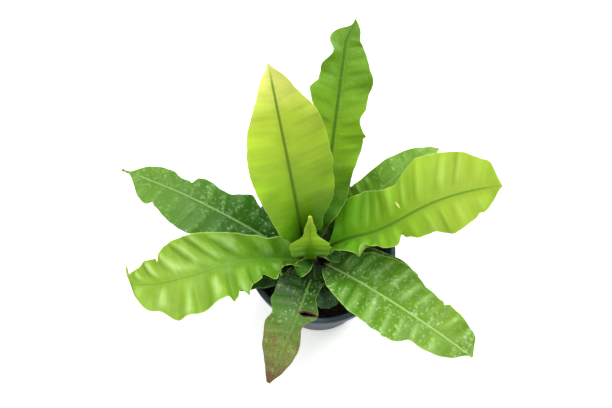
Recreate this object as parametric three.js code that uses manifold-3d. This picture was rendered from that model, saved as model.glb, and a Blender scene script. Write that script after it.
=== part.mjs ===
// Bird's nest fern in a plain round nursery pot.
// Millimetres, +Z up. The origin is the centre of the flat underside of the pot.
// Every frond is one closed blade that follows a curved midrib. Its outline, its channel
// along the midrib and its waved margins are read from short lists of stations.
import * as THREE from "three";
import { mergeVertices } from "three/addons/utils/BufferGeometryUtils.js";
import Module from "manifold-3d";

const wasm = await Module();
wasm.setup();

// Pot
const POT_HEIGHT = 105;
const POT_BASE_RADIUS = 41;
const POT_SHOULDER_RADIUS = 54.4;
const POT_SHOULDER_HEIGHT = 90;
const RIM_RADIUS = 60;
const RIM_INNER_RADIUS = 55.4;
const WALL = 1.9;
const FLOOR = 3;
const POT_SEGMENTS = 56;
const DRAIN_COUNT = 8;
const DRAIN_RADIUS = 4;
const DRAIN_CIRCLE = 26;

// Potting mix
const SEAT_GAP = 0.3;
const MIX_HEIGHT = 93;
const MIX_RELIEF = 1.1;
const SOCKET_RADIUS = 13;
const SOCKET_FLOOR = 84;

// Crown, the short upright rhizome that carries the fronds
const CROWN_X = -6;
const CROWN_Y = -9;
const CROWN_TOP = 109;
const ROOT_RADIUS = 11;
const STUB_RADIUS = 2.5;
const STUB_LENGTH = 11;

// Fronds
const BLADE_THICKNESS = 0.8;
const EDGE_HALF_WIDTH = 0.4;
const KEEL_BASE = 2.4;
const KEEL_TIP = 0.3;
const RIB_BASE = 2.6;
const RIB_TIP = 0.7;
const SPINE_STEPS = 200;
const ROWS = 28;
const SMALL_ROWS = 16;
const COLUMNS = [-1, -0.68, -0.36, -0.14, 0, 0.14, 0.36, 0.68, 1];
const PALE_GREEN = 0x8fc437;
const MID_GREEN = 0x5f9f2a;
const DARK_GREEN = 0x3f7a3c;

// bearing: degrees anticlockwise from +X seen from above. turn: offset of the foot around
// the crown. rise: height of the foot. lift: elevation of the midrib from foot to tip.
// sweep: added to the bearing from foot to tip. channel: how far both halves fold up.
// left and right: half widths from foot to tip. rippleLeft and rippleRight: waves along the
// margin, their amplitude and their phase. tear: a slit through the blade, centred at s and u,
// with its outer end slanted towards the foot by so many degrees.
const FRONDS = [
  {
    name: "frond_back_left", color: PALE_GREEN, rows: ROWS,
    bearing: 116, turn: 15, rise: 112, length: 188,
    lift: [82, 76, 68, 60, 52],
    sweep: [0, -5, -8, -11],
    channel: [45, 20, 10, 8, 12],
    left: [4, 9, 17.5, 21.5, 24.5, 29.5, 29, 26.5, 20.5, 10.5, 0],
    right: [4, 8, 16, 25, 28.5, 30.5, 31, 29, 23, 11, 0],
    rippleLeft: [5, 1, 0], rippleRight: [5, 1, 0.3],
  },
  {
    name: "frond_back_right", color: MID_GREEN, rows: ROWS + 8,
    bearing: 76.5, turn: 3, rise: 108, length: 189,
    lift: [60, 48, 34, 20],
    sweep: [0, 0, 0, 0, 0, 1, 2, 4, 5, 5, 5, 5, 5, 5, 3, -55, 60],
    channel: [45, 14, 8, 4],
    left: [4, 5, 7, 9, 12, 15, 18, 19, 20, 20, 20, 20, 17, 15, 12.5, 6, 0.5],
    right: [4, 5, 7, 9, 12, 16, 20, 22, 23, 22, 20, 20, 22.5, 22, 13, 4, 0.5],
    rippleLeft: [5, 2, 0], rippleRight: [5, 2, 0.3],
  },
  {
    name: "frond_right_rear", color: DARK_GREEN, rows: ROWS,
    bearing: 38, turn: 4, rise: 102, length: 132,
    lift: [50, 40, 25, 5],
    sweep: [0, 0, -2, -14],
    channel: [45, 14, 8, 4],
    left: [3, 6, 12, 17, 18, 18, 17.5, 16, 13, 8.5, 0.5],
    right: [3, 8, 12, 15, 17, 18, 17, 15, 12, 7, 0],
    rippleLeft: [5, 1, 0], rippleRight: [5, 1, 0.3],
  },
  {
    name: "frond_right_pale", color: PALE_GREEN, rows: ROWS,
    bearing: 12, turn: 18, rise: 113, length: 166,
    lift: [50, 48, 38, 18],
    sweep: [0, -10, -19, -7, 5, 1, -5, -9, -12],
    channel: [40, 14, 8, 4],
    left: [4, 4, 22, 29, 27.5, 24, 26.5, 32.5, 31, 25, 0],
    right: [4, 6, 12.5, 21, 19.5, 16, 24, 26, 29, 17, 0],
    rippleLeft: [5, 1, 0], rippleRight: [5, 1, 0.3],
  },
  {
    name: "frond_front_right", color: MID_GREEN, rows: ROWS,
    bearing: -38, turn: 20, rise: 104, length: 146,
    lift: [35, 28, 12, -12],
    sweep: [0, -2, -2.3, -1.3, 0.7, 5],
    channel: [30, 10, 4, 0],
    left: [4, 14, 20, 25, 26, 25.5, 21, 19.5, 18, 12, 2],
    right: [5, 16, 23, 27, 28.5, 27.5, 28.5, 19, 16, 10.5, 2],
    rippleLeft: [5, 1, 0], rippleRight: [5, 1, 0.3],
  },
  {
    name: "frond_front", color: DARK_GREEN, rows: ROWS,
    bearing: -105, turn: 14, rise: 100, length: 102,
    lift: [42, 22, -5, -30],
    sweep: [0, -3, -8, -11],
    channel: [30, 10, 4, 0],
    left: [5, 10, 11, 12, 15.7, 9.5, 10.5, 11.7, 9.7, 6, 1],
    right: [5, 18, 21, 20.5, 21, 17.5, 19, 15, 9.5, 5, 1],
    rippleLeft: [4, 1, 0], rippleRight: [4, 1, 0.3],
    tear: { s: 0.42, u: 0.5, length: 11.5, width: 2.8, slant: 20 },
  },
  {
    name: "frond_left_pale", color: PALE_GREEN, rows: ROWS,
    bearing: 188, turn: 0, rise: 107, length: 143,
    lift: [38, 24, 4, -8],
    sweep: [0, 2, 6, 10, 13, 11, 5, -10, -50],
    channel: [40, 26, 17, 10, 5, 2, 0],
    left: [3, 4, 15, 14, 21, 25, 29, 31, 22, 15, 1.5],
    right: [4, 12, 15, 23.5, 26, 33, 31, 31, 21, 18, 1.5],
    rippleLeft: [6, 2.6, 0], rippleRight: [5, 2, 0.3],
  },
  {
    name: "frond_left_rear", color: DARK_GREEN, rows: ROWS,
    bearing: 158, turn: 6, rise: 98.5, length: 154,
    lift: [38, 30, 14, -3],
    sweep: [0, 0, 0, 0],
    channel: [30, 10, 4, 0],
    left: [3, 4, 8, 11, 15, 20, 25, 26, 22, 16, 1],
    right: [2, 5, 9, 14, 19, 21, 19.5, 16, 14.5, 12.5, 1],
    rippleLeft: [5, 1, 0], rippleRight: [5, 1, 0.3],
  },
  {
    name: "frond_centre_young", color: PALE_GREEN, rows: SMALL_ROWS,
    bearing: 93, turn: 0, root: 0, rise: 112, length: 68,
    lift: [80, 86, 88],
    sweep: [0, 0],
    channel: [50, 30, 30],
    left: [4, 9, 13, 12, 8.5, 6.5, 5.5, 4.8, 4.2, 3.4, 1.5],
    right: [4, 9, 13, 12, 8.5, 6.5, 5.5, 4.8, 4.2, 3.4, 1.5],
    rippleLeft: [2, 0.5, 0], rippleRight: [2, 0.5, 0.3],
  },
  {
    name: "frond_left_under", color: DARK_GREEN, rows: SMALL_ROWS,
    bearing: 203, turn: -4, rise: 97, length: 62,
    lift: [30, 15, -10],
    sweep: [0, 4],
    channel: [30, 10, 4, 0],
    left: [3, 7, 10, 11, 11, 11, 10, 8, 6, 4, 0],
    right: [3, 4, 9, 11, 11, 11, 10, 8, 6, 4, 0],
    rippleLeft: [3, 1, 0], rippleRight: [3, 1, 0.3],
  },
  {
    name: "frond_front_short", color: DARK_GREEN, rows: SMALL_ROWS,
    bearing: -75, turn: 15, rise: 97, length: 34,
    lift: [25, 10, -10],
    sweep: [0, 0],
    channel: [30, 10, 4, 0],
    left: [2, 4, 6, 8, 9, 10, 10, 9.5, 8, 5, 0],
    right: [2, 4, 6, 8, 9, 10, 10, 9.5, 8, 5, 0],
    rippleLeft: [2, 1, 0], rippleRight: [2, 1, 0.3],
  },
  {
    name: "frond_right_under", color: DARK_GREEN, rows: SMALL_ROWS,
    bearing: -11, turn: 0, rise: 98, length: 80,
    lift: [28, 15, -5],
    sweep: [0, 0],
    channel: [30, 10, 4, 0],
    left: [3, 8, 11, 13, 14, 14, 13, 12, 10, 6, 0],
    right: [3, 8, 11, 13, 14, 14, 13, 12, 10, 6, 0],
    rippleLeft: [3, 1, 0], rippleRight: [3, 1, 0.3],
  },
];

const radians = THREE.MathUtils.degToRad;
const clamp = THREE.MathUtils.clamp;

// Smooth value at fraction s of a list of evenly spaced stations.
function along(stations, s) {
  const last = stations.length - 1;
  const x = clamp(s, 0, 1) * last;
  const i = Math.min(Math.floor(x), last - 1);
  const t = x - i;
  const a = stations[Math.max(i - 1, 0)];
  const b = stations[i];
  const c = stations[i + 1];
  const d = stations[Math.min(i + 2, last)];
  const square = 2 * a - 5 * b + 4 * c - d;
  const cube = 3 * b - a - 3 * c + d;
  return 0.5 * (2 * b + (c - a) * t + square * t * t + cube * t * t * t);
}

// Direction of the midrib, the direction to its left and the way its upper face looks.
function heading(frond, s) {
  const lift = radians(along(frond.lift, s));
  const turn = radians(frond.bearing + along(frond.sweep, s));
  const forward = new THREE.Vector3(
    Math.cos(lift) * Math.cos(turn),
    Math.cos(lift) * Math.sin(turn),
    Math.sin(lift),
  );
  const side = new THREE.Vector3(-Math.sin(turn), Math.cos(turn), 0);
  const up = new THREE.Vector3().crossVectors(forward, side);
  return { forward, side, up };
}

function footOf(frond) {
  const angle = radians(frond.bearing + frond.turn);
  const radius = frond.root ?? ROOT_RADIUS;
  return new THREE.Vector3(
    CROWN_X + radius * Math.cos(angle),
    CROWN_Y + radius * Math.sin(angle),
    frond.rise,
  );
}

function spineOf(frond) {
  const points = [footOf(frond)];
  const step = frond.length / SPINE_STEPS;
  for (let i = 0; i < SPINE_STEPS; i += 1) {
    const { forward } = heading(frond, (i + 0.5) / SPINE_STEPS);
    points.push(points[i].clone().addScaledVector(forward, step));
  }
  return points;
}

function spinePoint(spine, s) {
  const x = clamp(s, 0, 1) * SPINE_STEPS;
  const i = Math.min(Math.floor(x), SPINE_STEPS - 1);
  return spine[i].clone().lerp(spine[i + 1], x - i);
}

function halfWidth(frond, s, u) {
  return Math.max(along(u >= 0 ? frond.left : frond.right, s), EDGE_HALF_WIDTH);
}

// Middle layer of the blade at fraction s of its length, from u = -1 on the right margin
// to u = 1 on the left.
function bladePoint(frond, spine, s, u) {
  const { side, up } = heading(frond, s);
  const width = halfWidth(frond, s, u) * Math.abs(u);
  const fold = radians(along(frond.channel, s));
  const [count, amplitude, phase] = u >= 0 ? frond.rippleLeft : frond.rippleRight;
  const turn = 2 * Math.PI * (count * s + phase);
  const fade = clamp(s / 0.12, 0, 1) * clamp((1 - s) / 0.12, 0, 1);
  const wave = Math.sin(turn) + 0.3 * Math.sin(1.7 * turn + 1.3);
  const height = width * Math.sin(fold) + amplitude * fade * Math.abs(u) ** 1.6 * wave;
  return spinePoint(spine, s)
    .addScaledVector(side, Math.sign(u) * width * Math.cos(fold))
    .addScaledVector(up, height);
}

function bladeNormal(frond, spine, s, u) {
  const ds = 0.004;
  const du = 0.02;
  const ahead = bladePoint(frond, spine, Math.min(s + ds, 1), u);
  const behind = bladePoint(frond, spine, Math.max(s - ds, 0), u);
  const left = bladePoint(frond, spine, s, Math.min(u + du, 1));
  const right = bladePoint(frond, spine, s, Math.max(u - du, -1));
  return ahead.sub(behind).cross(left.sub(right)).normalize();
}

// The midrib stands out under the blade as a tapering keel.
function keelDepth(frond, s, u) {
  const rib = RIB_BASE + (RIB_TIP - RIB_BASE) * s;
  const offset = Math.abs(u) * halfWidth(frond, s, u);
  const depth = KEEL_BASE + (KEEL_TIP - KEEL_BASE) * Math.sqrt(s);
  return depth * Math.max(0, 1 - (offset / rib) ** 2);
}

// Both faces share one grid and one diagonal per cell, so the blade stays evenly thick.
function frondGeometry(frond) {
  const spine = spineOf(frond);
  const across = COLUMNS.length;
  const rows = frond.rows;
  const layer = (rows + 1) * across;
  const position = new Float32Array(layer * 2 * 3);
  const index = [];
  for (let i = 0; i <= rows; i += 1) {
    for (let j = 0; j < across; j += 1) {
      const s = i / rows;
      const u = COLUMNS[j];
      const middle = bladePoint(frond, spine, s, u);
      const normal = bladeNormal(frond, spine, s, u);
      const half = BLADE_THICKNESS / 2;
      const top = middle.clone().addScaledVector(normal, half);
      const under = middle.addScaledVector(normal, -half - keelDepth(frond, s, u));
      top.toArray(position, (i * across + j) * 3);
      under.toArray(position, (layer + i * across + j) * 3);
    }
  }
  const quad = (a, b, c, d) => index.push(a, b, c, a, c, d);
  for (let i = 0; i < rows; i += 1) {
    for (let j = 0; j + 1 < across; j += 1) {
      const a = i * across + j;
      const b = a + across;
      quad(a, b, b + 1, a + 1);
      index.push(layer + a, layer + b + 1, layer + b);
      index.push(layer + a, layer + a + 1, layer + b + 1);
    }
    const right = i * across;
    const left = right + across - 1;
    quad(layer + right, layer + right + across, right + across, right);
    quad(left, left + across, layer + left + across, layer + left);
  }
  for (let j = 0; j + 1 < across; j += 1) {
    const tip = rows * across + j;
    quad(layer + j, j, j + 1, layer + j + 1);
    quad(tip, layer + tip, layer + tip + 1, tip + 1);
  }
  const geometry = new THREE.BufferGeometry();
  geometry.setAttribute("position", new THREE.BufferAttribute(position, 3));
  geometry.setIndex(index);
  return geometry;
}

// Boolean solid of a closed geometry, with shared vertices merged and flat cells dropped.
function solidOf(source) {
  const open = source.clone();
  open.deleteAttribute("normal");
  open.deleteAttribute("uv");
  const merged = mergeVertices(open, 1e-4);
  const corners = merged.index.array;
  const kept = [];
  for (let i = 0; i < corners.length; i += 3) {
    const [a, b, c] = [corners[i], corners[i + 1], corners[i + 2]];
    if (a !== b && b !== c && c !== a) {
      kept.push(a, b, c);
    }
  }
  return new wasm.Manifold(new wasm.Mesh({
    numProp: 3,
    vertProperties: new Float32Array(merged.attributes.position.array),
    triVerts: new Uint32Array(kept),
  }));
}

function geometryOf(solid) {
  const mesh = solid.getMesh();
  const geometry = new THREE.BufferGeometry();
  geometry.setAttribute("position", new THREE.BufferAttribute(mesh.vertProperties, 3));
  geometry.setIndex(new THREE.BufferAttribute(mesh.triVerts, 1));
  return geometry;
}

// Lens-shaped prism that cuts a frond's tear. Its long axis runs across the blade.
function tearCutter(frond) {
  const { s, u, length, width, slant } = frond.tear;
  const spine = spineOf(frond);
  const normal = bladeNormal(frond, spine, s, u);
  const across = heading(frond, s).side.projectOnPlane(normal).normalize();
  across.applyAxisAngle(normal, radians(slant));
  const lens = new THREE.Shape();
  lens.moveTo(-length / 2, 0);
  lens.quadraticCurveTo(0, -width, length / 2, 0);
  lens.quadraticCurveTo(0, width, -length / 2, 0);
  const depth = 12;
  const prism = new THREE.ExtrudeGeometry(lens, { depth, bevelEnabled: false, curveSegments: 5 });
  prism.translate(0, 0, -depth / 2);
  const along = new THREE.Vector3().crossVectors(normal, across);
  const frame = new THREE.Matrix4().makeBasis(across, along, normal);
  frame.setPosition(bladePoint(frond, spine, s, u));
  return prism.applyMatrix4(frame);
}

function lathe(profile, segments) {
  const points = profile.map(([r, z]) => new THREE.Vector2(r, z));
  return new THREE.LatheGeometry(points, segments).rotateX(Math.PI / 2);
}

// Upright cylinder from z = low to z = high.
function post(radius, low, high, sides = 32) {
  const cylinder = new THREE.CylinderGeometry(radius, radius, high - low, sides);
  return cylinder.rotateX(Math.PI / 2).translate(0, 0, (low + high) / 2);
}

// Radius of the pot's inner wall at height z, below the shoulder.
function innerRadius(z) {
  const share = (z - FLOOR) / (POT_SHOULDER_HEIGHT - FLOOR);
  const low = POT_BASE_RADIUS - WALL;
  return low + (POT_SHOULDER_RADIUS - WALL - low) * share;
}

function potGeometry() {
  const lipFoot = POT_SHOULDER_HEIGHT + 1.4;
  const shell = lathe([
    [0, 0],
    [POT_BASE_RADIUS - 1, 0],
    [POT_BASE_RADIUS, 1],
    [POT_SHOULDER_RADIUS, POT_SHOULDER_HEIGHT],
    [RIM_RADIUS - 2, lipFoot - 0.6],
    [RIM_RADIUS - 1.2, lipFoot],
    [RIM_RADIUS, POT_HEIGHT - 1.4],
    [RIM_RADIUS - 0.5, POT_HEIGHT - 0.4],
    [RIM_RADIUS - 1.6, POT_HEIGHT],
    [RIM_INNER_RADIUS + 1.2, POT_HEIGHT],
    [RIM_INNER_RADIUS + 0.3, POT_HEIGHT - 0.4],
    [RIM_INNER_RADIUS, POT_HEIGHT - 1.3],
    [RIM_INNER_RADIUS - 0.9, POT_SHOULDER_HEIGHT + 2.4],
    [innerRadius(POT_SHOULDER_HEIGHT), POT_SHOULDER_HEIGHT],
    [innerRadius(FLOOR + 1), FLOOR + 1],
    [innerRadius(FLOOR) - 1, FLOOR],
    [0, FLOOR],
  ], POT_SEGMENTS);
  let solid = solidOf(shell);
  for (let i = 0; i < DRAIN_COUNT; i += 1) {
    const angle = (2 * Math.PI * (i + 0.5)) / DRAIN_COUNT;
    const drain = post(DRAIN_RADIUS, -1, FLOOR + 1, 16);
    drain.translate(DRAIN_CIRCLE * Math.cos(angle), DRAIN_CIRCLE * Math.sin(angle), 0);
    solid = solid.subtract(solidOf(drain));
  }
  return geometryOf(solid);
}

// Gentle lumps of the surface of the mix.
function mixRelief(x, y) {
  const broad = Math.sin(0.21 * x + 1.1) * Math.cos(0.24 * y - 0.4);
  const fine = Math.sin(0.55 * x - 0.38 * y);
  return MIX_RELIEF * (broad + 0.5 * fine);
}

function mixGeometry() {
  const top = POT_SHOULDER_HEIGHT + 1.5;
  const body = lathe([
    [0, FLOOR + SEAT_GAP],
    [innerRadius(FLOOR) - 1 - SEAT_GAP, FLOOR + SEAT_GAP],
    [innerRadius(FLOOR + 2) - SEAT_GAP, FLOOR + 2],
    [innerRadius(POT_SHOULDER_HEIGHT - 1) - SEAT_GAP, POT_SHOULDER_HEIGHT - 1],
    [innerRadius(POT_SHOULDER_HEIGHT) - SEAT_GAP, top],
    [44, MIX_HEIGHT],
    [35, MIX_HEIGHT],
    [26, MIX_HEIGHT],
    [18, MIX_HEIGHT],
    [9, MIX_HEIGHT],
    [0, MIX_HEIGHT],
  ], POT_SEGMENTS);
  const position = body.attributes.position;
  for (let i = 0; i < position.count; i += 1) {
    if (position.getZ(i) >= top) {
      position.setZ(i, position.getZ(i) + mixRelief(position.getX(i), position.getY(i)));
    }
  }
  const socket = post(SOCKET_RADIUS, SOCKET_FLOOR, MIX_HEIGHT + 10);
  socket.translate(CROWN_X, CROWN_Y, 0);
  return geometryOf(solidOf(body).subtract(solidOf(socket)));
}

// Stub of a frond's foot on the crown, ending just short of the frond.
function stubGeometry(frond) {
  const { forward } = heading(frond, 0);
  const turn = new THREE.Quaternion().setFromUnitVectors(new THREE.Vector3(0, 1, 0), forward);
  const middle = footOf(frond).addScaledVector(forward, -SEAT_GAP - STUB_LENGTH / 2);
  const stub = new THREE.CylinderGeometry(STUB_RADIUS, STUB_RADIUS + 1, STUB_LENGTH, 14);
  return stub.applyQuaternion(turn).translate(middle.x, middle.y, middle.z);
}

function crownGeometry() {
  const buried = SOCKET_RADIUS - SEAT_GAP;
  const dome = lathe([
    [0, SOCKET_FLOOR + SEAT_GAP],
    [buried - 1.5, SOCKET_FLOOR + SEAT_GAP],
    [buried, SOCKET_FLOOR + 2],
    [buried, MIX_HEIGHT],
    [9.4, MIX_HEIGHT + 2.4],
    [8, MIX_HEIGHT + 7],
    [7, MIX_HEIGHT + 11],
    [5, CROWN_TOP - 2.2],
    [0, CROWN_TOP],
  ], 36);
  dome.translate(CROWN_X, CROWN_Y, 0);
  let solid = solidOf(dome);
  for (const frond of FRONDS) {
    solid = solid.add(solidOf(stubGeometry(frond)));
  }
  return geometryOf(solid);
}

function piece(name, geometry, color, roughness) {
  const material = new THREE.MeshStandardMaterial({ color, roughness, metalness: 0 });
  const mesh = new THREE.Mesh(geometry, material);
  mesh.name = name;
  return mesh;
}

const fern = new THREE.Group();
fern.add(piece("pot", potGeometry(), 0x2b3036, 0.55));
fern.add(piece("potting_mix", mixGeometry(), 0x1d1714, 0.95));
fern.add(piece("crown", crownGeometry(), 0x2a1d19, 0.9));
for (const frond of FRONDS) {
  const blade = frondGeometry(frond);
  const shape = frond.tear ? geometryOf(solidOf(blade).subtract(solidOf(tearCutter(frond)))) : blade;
  fern.add(piece(frond.name, shape, frond.color, 0.5));
}

export default fern;
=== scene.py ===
"""Bird's nest fern in a round nursery pot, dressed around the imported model.

Sizes in the tables and in the mesh code are millimetres. Pieces are written in metres.
"""

import math
import random

import bmesh
import bpy
import numpy as np
from mathutils import Matrix, Vector, noise


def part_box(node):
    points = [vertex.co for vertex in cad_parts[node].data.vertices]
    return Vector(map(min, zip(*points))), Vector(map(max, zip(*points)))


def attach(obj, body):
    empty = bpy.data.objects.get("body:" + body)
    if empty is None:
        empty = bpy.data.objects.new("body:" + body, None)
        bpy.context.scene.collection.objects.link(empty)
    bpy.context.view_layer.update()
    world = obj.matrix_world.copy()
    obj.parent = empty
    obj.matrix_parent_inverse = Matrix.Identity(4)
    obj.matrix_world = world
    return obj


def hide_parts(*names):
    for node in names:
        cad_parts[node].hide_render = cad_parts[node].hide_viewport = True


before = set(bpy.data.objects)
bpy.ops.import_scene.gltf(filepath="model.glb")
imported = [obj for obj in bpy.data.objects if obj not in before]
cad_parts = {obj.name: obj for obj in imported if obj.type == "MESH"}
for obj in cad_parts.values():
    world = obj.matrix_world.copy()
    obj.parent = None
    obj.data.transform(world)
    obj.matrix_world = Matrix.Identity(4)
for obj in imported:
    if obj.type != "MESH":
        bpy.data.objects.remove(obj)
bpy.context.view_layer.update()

bl_info = {
    "name": "Potted bird's nest fern",
    "version": (1, 0, 0),
    "blender": (4, 5, 0),
    "location": "View3D > Sidebar > Fern",
    "description": "Builds the fronds, the crown, the potting mix and the pot",
    "category": "Object",
}

MM = 0.001

# The middle of the crown, how far from it the feet stand, the stalk behind each foot and the
# least half width of a blade.
CROWN = np.array([-6.0, -9.0])
ROOT_RADIUS = 11.0
STALK = 9.0
EDGE_HALF_WIDTH = 0.4

# The drain holes lie evenly on a circle about the middle of the pot.
DRAIN_COUNT = 8
DRAIN_RADIUS = 4.0
DRAIN_CIRCLE = 26.0

# The top of the potting mix, the height of its slow waves and its radius there.
MIX_LEVEL = 93.0
MIX_RELIEF = 1.1
MIX_RADIUS = 52.3

# Meshes: steps of a midrib, cells along a blade and across half of it, how much closer they lie
# at the margins and the midrib, and the share of a blade's length in which its end rounds off.
SPINE_STEPS = 200
FULL_GRID = (210, 36)
SMALL_GRID = (90, 20)
CROWDING = 0.62
END_ROUNDING = 0.035

# Edges shorter than this, in metres, are removed once the drains are cut.
SMALLEST_EDGE = 1e-6

# Where the five tones of a blade lie, from foot to tip.
TONE_STOPS = (0.0, 0.22, 0.5, 0.78, 0.98)
WHITE = (1.0, 1.0, 1.0, 1.0)

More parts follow.
